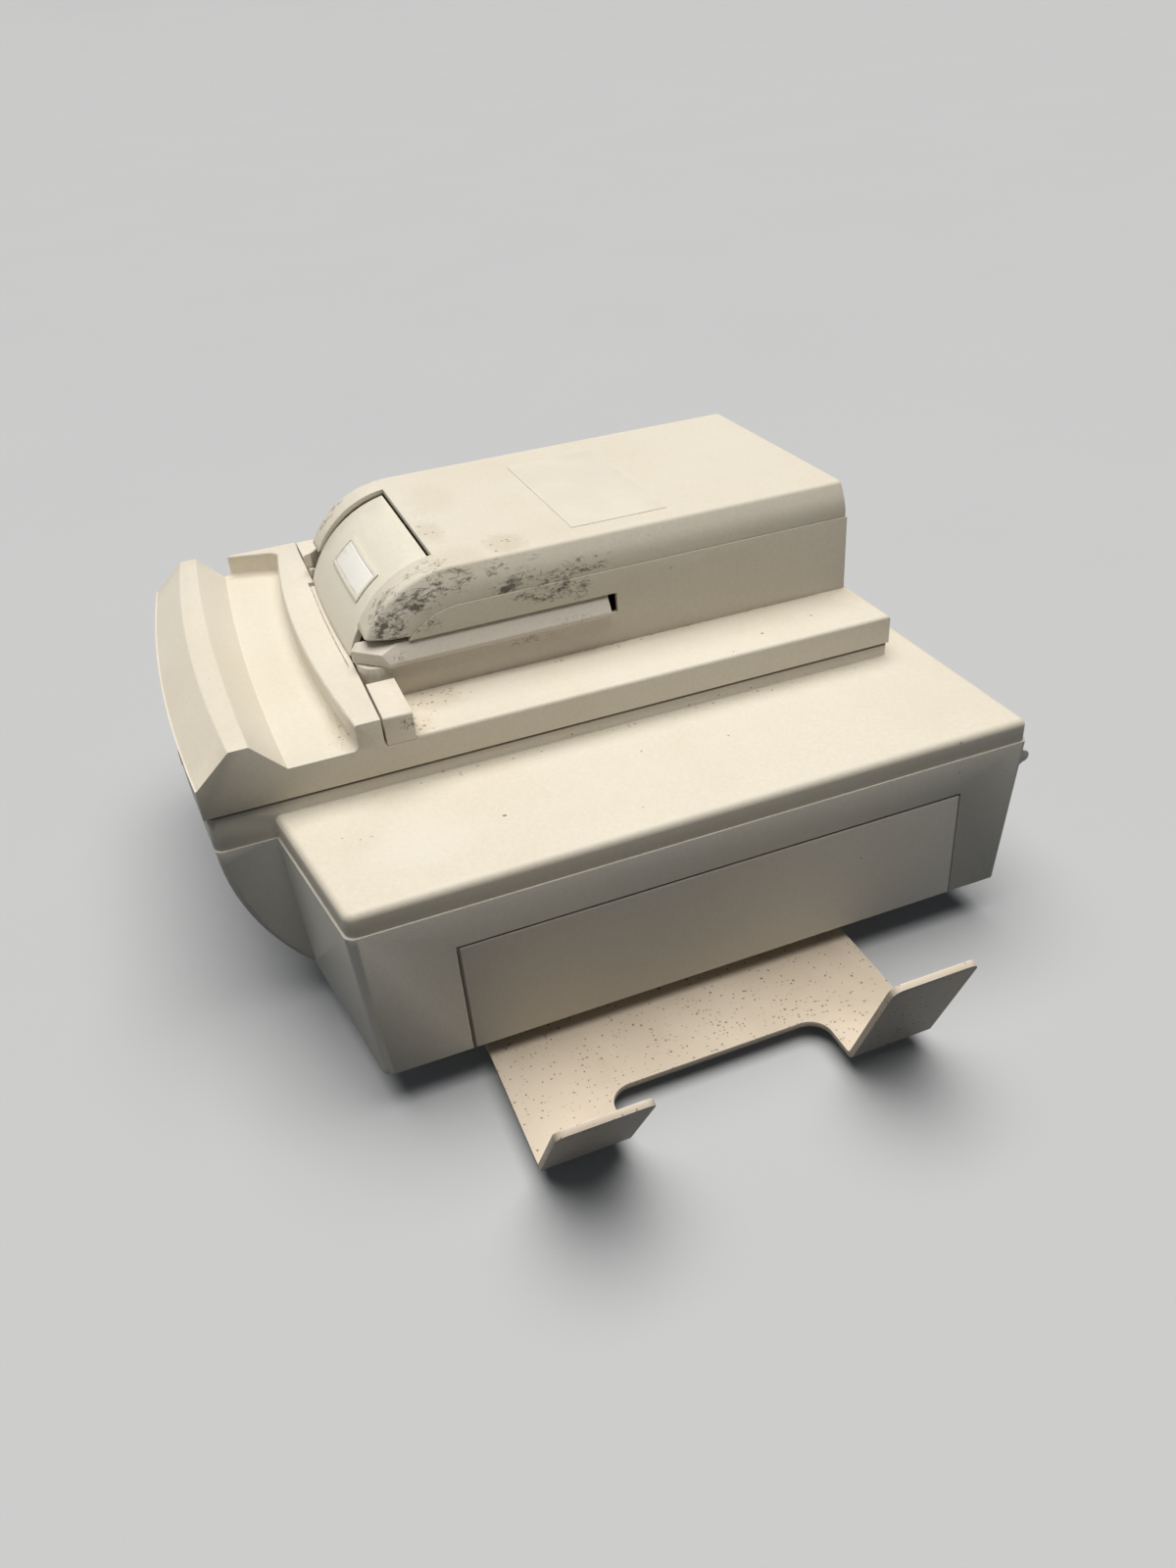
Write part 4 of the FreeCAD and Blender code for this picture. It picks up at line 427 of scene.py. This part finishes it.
# painted shade: the tub, its door and the rear hook are the lid's cream, given a darker, greyer colour for
# the shade they stand in
shadedTubLook = {
    "fresh": color(0.575, 0.55, 0.49), "aged": color(0.54, 0.495, 0.42), "age": 0.35, "grain": 0.6,
    "grainDepth": 0.00018, "crevice": 0.35,
    "scuffs": [(0.4, (172, -100, 8), (8, 16, 8)), (0.35, (172, 140, 20), (8, 20, 14)),
               (0.22, (-100, 60, 10), (10, 60, 14))]}
shadedDoorLook = {
    **shadedTubLook, "crevice": 0.3, "crumbs": 0.003,
    # painted shade lines along the door's gap, widths in metres
    "border": {"node": "side_door", "front": (0.0012, 0.0008), "rear": (0.0006, 0.0004),
               "top": (0.0007, 0.0005)},
    "scuffs": [(0.22, (175, -40, 14), (4, 40, 8))]}

shadedTubCream = makeMould("shadedTubCream", shadedTubLook)
coverCream = makeMould("coverCream", coverLook)
deckCream = makeMould("deckCream", deckLook)
wallCream = makeMould("wallCream", wallLook)
humpCream = makeMould("humpCream", humpLook)
shadedDoorCream = makeMould("shadedDoorCream", shadedDoorLook)
flapSatin = makeMould("flapSatin", flapLook)
railSatin = makeMould("railSatin", railLook)
blockSatin = makeMould("blockSatin", blockLook)
print("moulded finishes ready")


# coated sheet, metal, rubber and small finishes

hangerLook = {
    "coat": color(0.67, 0.575, 0.46), "dusty": color(0.53, 0.44, 0.335), "age": 0.5, "roughness": 0.55,
    "crumb": color(0.1, 0.07, 0.045), "crumbDepth": 0.72,
    "crumbs": {"Scale": 620.0, "Share": 0.24, "Size": 0.31},
    "dust": {"Scale": 640.0, "Size": 0.34}, "dustShare": 0.38, "dustDepth": 0.7,
    "dustPlaces": [(1.0, (205, 10, 0), (34, 70, 6)), (0.8, (195, -60, 0), (30, 34, 6))],
    "flake": color(0.86, 0.83, 0.78), "flakeDepth": 0.8,
    "flakes": {"Scale": 230.0, "Share": 0.012, "Size": 0.2},
    "topFrom": -0.0012, "topTo": -0.0004, "lipFrom": 0.002, "lipTo": 0.012,
    "edgeRadius": 0.0012, "edgeBreakup": 0.7}


def makeHangerCoat():
    # powder coat: dark crumbs from the upper face up, pale flakes, edges worn most on the upturned ends
    look = hangerLook
    material, tree, shader = newMaterial("hangerCoat", look["roughness"])
    surface = useGroup(tree, agedTone, {"Fresh": look["coat"], "Aged": look["dusty"], "Amount": look["age"],
                                        "Scale": 16.0})["Color"]
    share = calc(tree, "MULTIPLY", blots(tree, look["dustPlaces"]), look["dustShare"])
    crumbs = useGroup(tree, specks, look["crumbs"])["Mask"]
    dust = useGroup(tree, specks, {**look["dust"], "Share": share})["Mask"]
    flakes = useGroup(tree, specks, look["flakes"])["Mask"]
    height = placeParts(tree)[2]
    tops = ramp(tree, height, look["topFrom"], look["topTo"])
    loose = calc(tree, "MAXIMUM", crumbs, calc(tree, "MULTIPLY", dust, look["dustDepth"]))
    crumbMask = calc(tree, "MULTIPLY", calc(tree, "MULTIPLY", loose, tops), look["crumbDepth"])
    surface = blendColor(tree, crumbMask, surface, look["crumb"])
    surface = blendColor(tree, calc(tree, "MULTIPLY", flakes, look["flakeDepth"]), surface, look["flake"])
    edge = useGroup(tree, rubbedEdgeAndHighlight, {"Radius": look["edgeRadius"], "Breakup": look["edgeBreakup"]})["Mask"]
    raised = ramp(tree, height, look["lipFrom"], look["lipTo"], 0.3, 0.9)
    surface = blendColor(tree, calc(tree, "MULTIPLY", edge, raised), surface, look["flake"])
    tree.links.new(surface, shader.inputs["Base Color"])
    setBump(tree, shader, noise(tree, objectPlace(tree), 700.0, 2.0), 0.25, 0.00015)
    return material


def makeMetal(name, tint, roughness, brushed):
    material, tree, shader = newMaterial(name, roughness, metallic=1.0)
    stretch = vectorCalc(tree, "MULTIPLY", objectPlace(tree), brushed)
    lines = noise(tree, stretch, 900.0, 3.0)
    dull = useGroup(tree, agedTone, {"Fresh": tint, "Aged": color(*(0.7 * part for part in tint[:3])),
                                     "Amount": 0.5, "Scale": 60.0})["Color"]
    tree.links.new(dull, shader.inputs["Base Color"])
    rough = ramp(tree, lines, 0.3, 0.7, roughness - 0.08, roughness + 0.12)
    tree.links.new(rough, shader.inputs["Roughness"])
    setBump(tree, shader, lines, 0.12, 0.0001)
    return material


def makePlain(name, tint, roughness, grainStrength, specular=0.45):
    # smooth or lightly grained stuff with a faint drift of colour
    material, tree, shader = newMaterial(name, roughness, specular)
    paler = color(*(min(1.0, 1.12 * part + 0.01) for part in tint[:3]))
    drift = useGroup(tree, agedTone, {"Fresh": tint, "Aged": paler, "Amount": 0.5, "Scale": 40.0})["Color"]
    tree.links.new(drift, shader.inputs["Base Color"])
    grain = useGroup(tree, sparkGrain, {"Scale": 900.0})
    rough = ramp(tree, grain["Height"], 0.2, 0.8, roughness - 0.05, roughness + 0.08)
    tree.links.new(rough, shader.inputs["Roughness"])
    setBump(tree, shader, grain["Height"], grainStrength, 0.0001)
    return material


hangerCoat = makeHangerCoat()
brightSteel = makeMetal("brightSteel", color(0.55, 0.55, 0.56), 0.35, (1.0, 0.1, 1.0))
shellNickel = makeMetal("shellNickel", color(0.6, 0.59, 0.57), 0.3, (0.15, 1.0, 1.0))
turnedBrass = makeMetal("turnedBrass", color(0.62, 0.45, 0.2), 0.32, (1.0, 1.0, 0.1))
contactGold = makeMetal("contactGold", color(0.75, 0.55, 0.2), 0.25, (1.0, 0.2, 1.0))
plateWhite = makePlain("plateWhite", color(0.93, 0.905, 0.84), 0.35, 0.03)
labelFilm = makePlain("labelFilm", color(0.735, 0.68, 0.575), 0.42, 0.06)
lensDark = makePlain("lensDark", color(0.012, 0.01, 0.013), 0.12, 0.02, 0.6)
footRubber = makePlain("footRubber", color(0.025, 0.025, 0.026), 0.75, 0.5, 0.3)
socketBlack = makePlain("socketBlack", color(0.018, 0.018, 0.02), 0.45, 0.25)
boardGreen = makePlain("boardGreen", color(0.02, 0.11, 0.045), 0.35, 0.1)
print("small finishes ready")

# nodes that aren't named here are bright steel
finishOf = {
    "lower_tub": shadedTubCream, "upper_cover": coverCream, "dock_platform": deckCream, "hump_wall": wallCream,
    "hump_cover": humpCream, "side_door": shadedDoorCream, "rear_cable_hook": shadedTubCream, "release_flap": flapSatin,
    "nameplate_frame": flapSatin, "nameplate_inlay": plateWhite, "left_rail": railSatin,
    "right_rail": railSatin, "latch_carriage": railSatin, "spring_anchor": railSatin,
    "left_guide_block": blockSatin, "right_guide_block": blockSatin, "top_label": labelFilm,
    "cable_hanger": hangerCoat, "status_lens": lensDark, "rubber_feet": footRubber,
    "mounting_inserts": turnedBrass, "board_standoffs": turnedBrass, "main_board": boardGreen,
    "power_inlet": socketBlack, "network_jack": socketBlack, "docking_connector": socketBlack,
    "serial_port": shellNickel, "video_port": shellNickel}
for name, node in nodes.items():
    node.data.materials.clear()
    node.data.materials.append(finishOf.get(name, brightSteel))
print("finishes laid on the nodes")


# small helpers for meshes and objects

def boxOf(name):
    # a node's lowest and highest corners in millimetres
    return [corner * 1000 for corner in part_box(name)]


def mergedCopy(name):
    # a node's mesh with its loose triangles joined
    mesh = bmesh.new()
    mesh.from_mesh(nodes[name].data)
    bmesh.ops.remove_doubles(mesh, verts=mesh.verts, dist=0.00001)
    return mesh


def closeMesh(name, mesh, smooth=False):
    data = bpy.data.meshes.new(name)
    mesh.to_mesh(data)
    mesh.free()
    if smooth:
        for face in data.polygons:
            face.use_smooth = True
    return data


def addObject(name, data):
    thing = bpy.data.objects.new(name, data)
    bpy.context.scene.collection.objects.link(thing)
    return thing


def standFor(piece, name):
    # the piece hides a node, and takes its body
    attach(piece, bodyOf[name])
    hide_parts(name)


# soft edges: a copy of a node with its sharp edges rounded, widths in millimetres and angles in degrees

edgeLook = {"flatWithin": 0.4, "sharpOver": 28, "steps": 2}
softEdge = {"lower_tub": 0.6, "upper_cover": 0.4, "dock_platform": 0.3, "hump_wall": 0.4, "hump_cover": 0.4,
            "release_flap": 0.4, "left_rail": 0.35, "right_rail": 0.35, "left_guide_block": 0.12,
            "right_guide_block": 0.12, "side_door": 0.35, "cable_hanger": 0.6, "nameplate_frame": 0.2,
            "nameplate_inlay": 0.1, "rubber_feet": 1.2, "status_lens": 0.3, "docking_connector": 0.9,
            "rear_cable_hook": 0.4, "top_label": 0.1}


def roundEdges(name, width):
    mesh = mergedCopy(name)
    bmesh.ops.dissolve_limit(mesh, angle_limit=math.radians(edgeLook["flatWithin"]), verts=mesh.verts,
                             edges=mesh.edges)
    data = closeMesh(name + "_soft", mesh, smooth=True)
    data.materials.append(finishOf[name])
    piece = addObject(name + "_soft", data)
    bevel = piece.modifiers.new("edge", "BEVEL")
    bevel.width = width / 1000
    bevel.segments = edgeLook["steps"]
    bevel.limit_method = "ANGLE"
    bevel.angle_limit = math.radians(edgeLook["sharpOver"])
    bevel.use_clamp_overlap = True
    bevel.harden_normals = True
    standFor(piece, name)


for name, width in softEdge.items():
    roundEdges(name, width)
print("soft edges cut")


# the return springs as a smooth-shaded copy of their node

springLook = {"node": "return_springs", "joint": "latch_slide"}


def makeSprings():
    name = springLook["node"]
    data = closeMesh("springCoils", mergedCopy(name), smooth=True)
    data.materials.append(brightSteel)
    piece = addObject("springCoils", data)
    standFor(piece, name)
    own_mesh(piece)


makeSprings()
print("springs set")


# repeated small parts: one stamp set on many places by geometry nodes

def makeStampTree():
    tree = bpy.data.node_groups.new("stampOnPlaces", "GeometryNodeTree")
    for label, kind in (("Places", "Geometry"), ("Stamp", "Object"), ("Twist", "Float"), ("Seed", "Int"),
                        ("Finish", "Material")):
        tree.interface.new_socket(label, in_out="INPUT", socket_type="NodeSocket" + kind)
    tree.interface.new_socket("Pieces", in_out="OUTPUT", socket_type="NodeSocketGeometry")
    given = tree.nodes.new("NodeGroupInput").outputs
    result = tree.nodes.new("NodeGroupOutput").inputs
    stamp = put(tree, "GeometryNodeObjectInfo", {"Object": given["Stamp"]}).outputs["Geometry"]
    chance = put(tree, "FunctionNodeRandomValue", {"Seed": given["Seed"]}, data_type="FLOAT")
    turn = calc(tree, "MULTIPLY", chance.outputs["Value"], given["Twist"])
    spin = put(tree, "ShaderNodeCombineXYZ", {"Z": turn}).outputs[0]
    copies = put(tree, "GeometryNodeInstanceOnPoints", {"Points": given["Places"], "Instance": stamp,
                                                        "Rotation": spin}).outputs[0]
    solid = put(tree, "GeometryNodeRealizeInstances", {"Geometry": copies}).outputs[0]
    finished = put(tree, "GeometryNodeSetMaterial", {"Geometry": solid, "Material": given["Finish"]})
    tree.links.new(finished.outputs[0], result["Pieces"])
    return tree


stampTree = makeStampTree()
stampSeed = 7


def newPiece(name, mesh):
    bmesh.ops.recalc_face_normals(mesh, faces=mesh.faces)
    return addObject(name, closeMesh(name, mesh))


def stampPieces(name, mesh, places, finish, twist=0.0, instead=None):
    # places are in millimetres; the stamp is set on each, turned about Z by up to twist
    stamp = newPiece(name + "Stamp", mesh)
    data = bpy.data.meshes.new(name)
    data.from_pydata([[part / 1000 for part in place] for place in places], [], [])
    piece = addObject(name, data)
    build = piece.modifiers.new("build", "NODES")
    build.node_group = stampTree
    values = {"Stamp": stamp, "Twist": twist, "Seed": stampSeed, "Finish": finish}
    for socket in stampTree.interface.items_tree:
        if socket.in_out == "INPUT" and socket.name in values:
            build[socket.identifier] = values[socket.name]
    graph = bpy.context.evaluated_depsgraph_get()
    solid = bpy.data.meshes.new_from_object(piece.evaluated_get(graph), depsgraph=graph)
    piece.modifiers.remove(build)
    piece.data = solid
    bpy.data.objects.remove(stamp)
    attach(piece, "base")
    if instead:
        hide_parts(instead)


def block(mesh, low, high):
    # a box between two corners in millimetres
    middle = [(a + b) / 2000 for a, b in zip(low, high)]
    extent = [(b - a) / 1000 for a, b in zip(low, high)]
    matrix = Matrix.Translation(middle) @ Matrix.Diagonal((*extent, 1.0))
    return bmesh.ops.create_cube(mesh, size=1.0, matrix=matrix)["verts"]


def tube(mesh, outer, inner, start, stop, floor):
    # a sleeve along X from two loops of (y, z) in millimetres; gives back the face that closes it at floor
    rings = [[mesh.verts.new((x / 1000, y / 1000, z / 1000)) for y, z in loop]
             for loop, x in ((outer, start), (outer, stop), (inner, stop), (inner, floor))]
    count = len(outer)
    for near, far in zip(rings, rings[1:]):
        for step in range(count):
            after = (step + 1) % count
            mesh.faces.new((near[step], near[after], far[after], far[step]))
    return mesh.faces.new(rings[-1])


def spread(count, pitch):
    # places along a row, about its middle
    return [pitch * (number - (count - 1) / 2) for number in range(count)]


# cross-recessed pan-head screws, head down, sizes in millimetres

screwLook = {"headRadius": 3.2, "headHeight": 2.2, "crown": 0.3, "recess": 1.2, "taper": 0.75,
             "shankRadius": 1.45, "shankSides": 20, "twist": 6.28,
             "lines": (-1.0, -0.8, -0.52, -0.15, 0.15, 0.52, 0.8, 1.0)}


def screwStamp(reach):
    # the head is a domed grid whose middle row and column hold the cross
    look = screwLook
    mesh = bmesh.new()

    def domed(x, y):
        across, along = x * math.sqrt(1 - y * y / 2), y * math.sqrt(1 - x * x / 2)
        rise = look["headHeight"] * (1 - look["crown"] * (across * across + along * along) ** 2)
        return (across * look["headRadius"] / 1000, along * look["headRadius"] / 1000, -rise / 1000)

    grid = [[mesh.verts.new(domed(x, y)) for x in look["lines"]] for y in look["lines"]]
    cross = []
    count = len(look["lines"]) - 1
    middle = count // 2
    for row in range(count):
        for column in range(count):
            face = mesh.faces.new((grid[row][column], grid[row][column + 1], grid[row + 1][column + 1],
                                   grid[row + 1][column]))
            away = sorted((abs(row - middle), abs(column - middle)))
            if away[0] == 0 and away[1] <= 1:
                cross.append(face)
    rim = bmesh.ops.extrude_edge_only(mesh, edges=[edge for edge in mesh.edges if edge.is_boundary])["geom"]
    for part in rim:
        if isinstance(part, bmesh.types.BMVert):
            part.co.z = 0.0
    bmesh.ops.edgeloop_fill(mesh, edges=[edge for edge in mesh.edges if edge.is_boundary])
    for part in bmesh.ops.extrude_face_region(mesh, geom=cross)["geom"]:
        if isinstance(part, bmesh.types.BMVert):
            part.co.xy *= look["taper"]
            part.co.z += look["recess"] / 1000
    bmesh.ops.delete(mesh, geom=cross, context="FACES")
    shank = look["shankRadius"] / 1000
    bmesh.ops.create_cone(mesh, cap_ends=True, segments=look["shankSides"], radius1=shank, radius2=shank,
                          depth=reach / 1000, matrix=Matrix.Translation((0, 0, reach / 2000)))
    return mesh


def screwMiddles(name):
    # the middle of each screw in a node, from left to right and front to rear
    mesh = mergedCopy(name)
    left = set(mesh.verts)
    middles = []
    while left:
        screw = [left.pop()]
        for corner in screw:
            joined = {edge.other_vert(corner) for edge in corner.link_edges} & left
            left -= joined
            screw.extend(joined)
        sides = [[corner.co[axis] * 1000 for corner in screw] for axis in (0, 1)]
        middles.append(tuple(round((min(side) + max(side)) / 2, 2) for side in sides))
    mesh.free()
    return sorted(middles)


def makeScrews(name, title):
    low, high = boxOf(name)
    seat = low.z + screwLook["headHeight"]
    places = [(x, y, seat) for x, y in screwMiddles(name)]
    stampPieces(title, screwStamp(high.z - seat), places, brightSteel, screwLook["twist"], name)


makeScrews("hanger_screws", "hangerScrewHeads")
makeScrews("case_screws", "caseScrewHeads")
print("screws set")


# ports on the panel behind the door, sizes in millimetres

portLook = {"rows": {"serial_port": (5, 4), "video_port": (8, 7)}, "pitch": 2.77, "rowGap": 2.84,
            "lap": 3.0, "plate": 2.0, "plateCorner": 1.8, "cornerSteps": 4,
            "shieldInset": 1.0, "shieldLean": 0.7, "shieldCorner": 1.5, "shieldSteps": 6, "sleeve": 0.5,
            "floor": 1.0,
            "pinStages": ((0.5, 0.5, 0.0, 3.2), (0.5, 0.2, 3.2, 3.8)), "pinSides": 12,
            "nutRadius": 2.7, "nutBore": 1.5, "nutLength": 4.6, "nutFloor": 0.8, "nutSides": 6}


def shieldLoop(middle, half, level, tall):
    # the outline of the plug's shield: wide at the top, narrower below, with round corners
    radius, steps = portLook["shieldCorner"], portLook["shieldSteps"]
    foot = half - 2 * portLook["shieldLean"]
    loop = []
    for number, (y, z) in enumerate([(half, tall), (-half, tall), (-foot, -tall), (foot, -tall)]):
        centre = (middle + y - math.copysign(radius, y), level + z - math.copysign(radius, z))
        for step in range(steps):
            angle = math.radians(90 * (number + step / (steps - 1)))
            loop.append((centre[0] + radius * math.cos(angle), centre[1] + radius * math.sin(angle)))
    return loop


def pinStamp():
    # each stage has its two radii, its start and its stop
    pin = bmesh.new()
    lying = Matrix.Rotation(math.radians(90), 4, "Y")
    for first, second, start, stop in portLook["pinStages"]:
        place = Matrix.Translation(((start + stop) / 2000, 0, 0))
        bmesh.ops.create_cone(pin, cap_ends=True, segments=portLook["pinSides"], radius1=first / 1000,
                              radius2=second / 1000, depth=(stop - start) / 1000, matrix=place @ lying)
    return pin


def nutStamp():
    nut = bmesh.new()
    angles = [2 * math.pi * step / portLook["nutSides"] for step in range(portLook["nutSides"])]
    outer, inner = ([(radius * math.cos(angle), radius * math.sin(angle)) for angle in angles]
                    for radius in (portLook["nutRadius"], portLook["nutBore"]))
    tube(nut, outer, inner, 0.0, portLook["nutLength"], portLook["nutFloor"])
    return nut


def makePort(name):
    # body behind the panel, flange on it, hollow shield, and its pins and nuts
    look, lap = portLook, portLook["lap"]
    low, high = boxOf(name)
    panel = boxOf("connector_panel")[1].x
    end = panel + look["plate"]
    floor = end + look["floor"]
    middle, half = (low.y + high.y) / 2, (high.y - low.y) / 2 - 2 * lap
    level, tall = (low.z + high.z) / 2, (high.z - low.z) / 2 - lap / 2
    mesh = bmesh.new()
    block(mesh, (low.x, middle - half, level - tall), (panel, middle + half, level + tall))
    flange = block(mesh, (panel, low.y, low.z), (end, high.y, high.z))
    along = [edge for edge in mesh.edges if edge.verts[0] in flange and edge.verts[1] in flange
             and abs(edge.verts[0].co.x - edge.verts[1].co.x) > 0.001]  # the flange's edges along X
    bmesh.ops.bevel(mesh, geom=along, offset=look["plateCorner"] / 1000, segments=look["cornerSteps"],
                    profile=0.5, affect="EDGES")
    wide, upright = half - look["shieldInset"], tall - look["shieldInset"]
    outer = shieldLoop(middle, wide, level, upright)
    inner = shieldLoop(middle, wide - look["sleeve"], level, upright - look["sleeve"])
    tube(mesh, outer, inner, end, high.x, floor).material_index = 1
    piece = newPiece(name + "Shell", mesh)
    piece.data.materials.append(shellNickel)
    piece.data.materials.append(socketBlack)
    standFor(piece, name)
    pins = [(floor, middle + shift, level + side * look["rowGap"] / 2)
            for side, count in zip((1, -1), look["rows"][name]) for shift in spread(count, look["pitch"])]
    stampPieces(name + "Pins", pinStamp(), pins, contactGold)
    nuts = [(end, middle + side * (half + lap), level) for side in (-1, 1)]
    stampPieces(name + "Nuts", nutStamp(), nuts, shellNickel)


for name in portLook["rows"]:
    makePort(name)


# sprung wires in the network jack and flat contacts on the dock plug's tongue, sizes in millimetres

contactLook = {"wire": (9.0, 0.44, 0.3), "wireTilt": -18, "wireCount": 8, "wirePitch": 1.02, "wireDepth": 6.2,
               "wireDrop": 4.5, "strip": (0.8, 6.8, 0.3), "stripCount": 10, "stripPitch": 1.5,
               "stripDepth": 5.2, "stripRise": 1.3}


def barStamp(size):
    bar = bmesh.new()
    half = [side / 2 for side in size]
    block(bar, [-side for side in half], half)
    return bar


def makeContacts():
    look = contactLook
    wire = barStamp(look["wire"])
    tilt = Matrix.Rotation(math.radians(look["wireTilt"]), 3, "Y")
    bmesh.ops.rotate(wire, verts=wire.verts, cent=(0, 0, 0), matrix=tilt)
    low, high = boxOf("network_jack")
    places = [(high.x - look["wireDepth"], (low.y + high.y) / 2 + shift, high.z - look["wireDrop"])
              for shift in spread(look["wireCount"], look["wirePitch"])]
    stampPieces("jackWires", wire, places, contactGold)
    low, high = boxOf("docking_connector")
    level = (low.z + high.z) / 2
    places = [((low.x + high.x) / 2 + shift, low.y + look["stripDepth"], level + side * look["stripRise"])
              for side in (-1, 1) for shift in spread(look["stripCount"], look["stripPitch"])]
    stampPieces("plugContacts", barStamp(look["strip"]), places, contactGold)


makeContacts()
print("ports and contacts set")


# stage: floor, light and camera

stageLook = {
    "floorLevel": cadBox[0][2], "floorColor": color(0.5, 0.51, 0.525), "floorDrift": color(0.48, 0.49, 0.505),
    "rim": [(1.5, 0.0), (3.0, 0.02), (5.0, 0.12), (8.0, 0.5), (12.0, 1.8), (16.0, 5.0), (19.0, 13.0)],
    "rimSides": 64,
    "skyColor": color(0.74, 0.86, 1.0), "skyStrength": 0.065,
    "sunStrength": 3.65, "sunFrom": (-0.08, 0.04, 1.0), "sunSpread": 60.0, "sunColor": (1.0, 0.975, 0.93),
    "fillPower": 0.5, "fillFrom": (0.3, -1.5, 0.9), "fillAt": (0.0, 0.0, 0.08), "fillSize": 1.2,
    "fillColor": (0.92, 0.96, 1.0)}


def makeFloor():
    # flat round the object, with a far rim that rises all round it; seen from below it is clear
    mesh = bmesh.new()
    sides = stageLook["rimSides"]
    angles = [2 * math.pi * step / sides for step in range(sides)]
    level = stageLook["floorLevel"]
    rings = [[mesh.verts.new((reach * math.cos(angle), reach * math.sin(angle), level + rise))
              for angle in angles] for reach, rise in stageLook["rim"]]
    mesh.faces.new(rings[0])
    for near, far in zip(rings, rings[1:]):
        for step in range(sides):
            after = (step + 1) % sides
            mesh.faces.new((near[step], far[step], far[after], near[after])).smooth = True
    floor = addObject("studioFloor", closeMesh("studioFloor", mesh))
    material, tree, shader = newMaterial("paleFloor", 0.7, 0.1)
    tint = useGroup(tree, agedTone, {"Fresh": stageLook["floorColor"], "Aged": stageLook["floorDrift"],
                                     "Amount": 0.3, "Scale": 3.0})["Color"]
    tree.links.new(tint, shader.inputs["Base Color"])
    side = put(tree, "ShaderNodeNewGeometry").outputs["Backfacing"]
    clear = put(tree, "ShaderNodeBsdfTransparent").outputs[0]
    mixed = put(tree, "ShaderNodeMixShader", {0: side, 1: shader.outputs[0], 2: clear}).outputs[0]
    tree.links.new(mixed, tree.nodes["Material Output"].inputs["Surface"])
    floor.data.materials.append(material)
    floor.visible_diffuse = False  # it takes shadows but throws no light back up


def addLamp(name, kind, place, target, **settings):
    lamp = bpy.data.lights.new(name, kind)
    for setting, value in settings.items():
        setattr(lamp, setting, value)
    holder = addObject(name, lamp)
    holder.location = place
    holder.rotation_euler = (Vector(target) - Vector(place)).to_track_quat("-Z", "Y").to_euler()


def makeLight():
    look = stageLook
    world = bpy.data.worlds.new("softRoom")
    world.use_nodes = True
    background = world.node_tree.nodes["Background"]
    background.inputs["Color"].default_value = look["skyColor"]
    background.inputs["Strength"].default_value = look["skyStrength"]
    bpy.context.scene.world = world
    addLamp("ceilingGlow", "SUN", look["sunFrom"], (0, 0, 0), energy=look["sunStrength"],
            angle=math.radians(look["sunSpread"]), color=look["sunColor"])
    addLamp("frontFill", "AREA", look["fillFrom"], look["fillAt"], energy=look["fillPower"],
            size=look["fillSize"], color=look["fillColor"])


# the photograph's camera: place in metres, angles in degrees, focal length and long side in its pixels
cameraLook = {"place": (0.5002, -0.1378, 0.3392), "yaw": 18.3, "pitch": 33.5, "roll": -5.1, "focal": 1201.7,
              "longSide": 1600, "sensor": 36.0, "near": 0.01}


def makeCamera():
    yaw, pitch, roll = (math.radians(cameraLook[part]) for part in ("yaw", "pitch", "roll"))
    ahead = Vector((-math.cos(yaw) * math.cos(pitch), math.sin(yaw) * math.cos(pitch), -math.sin(pitch)))
    level = Vector((math.sin(yaw), math.cos(yaw), 0.0))
    above = level.cross(ahead)
    right = math.cos(roll) * level + math.sin(roll) * above
    up = math.cos(roll) * above - math.sin(roll) * level
    lens = bpy.data.cameras.new("photoCamera")
    lens.sensor_width = cameraLook["sensor"]
    lens.lens = cameraLook["focal"] / cameraLook["longSide"] * lens.sensor_width
    lens.clip_start = cameraLook["near"]
    camera = addObject("photoCamera", lens)
    turn = Matrix((right, up, -ahead)).transposed().to_4x4()
    camera.matrix_world = Matrix.Translation(Vector(cameraLook["place"])) @ turn
    bpy.context.scene.camera = camera


makeFloor()
makeLight()
makeCamera()
bpy.context.scene.view_settings.view_transform = "Standard"
print("stage set")
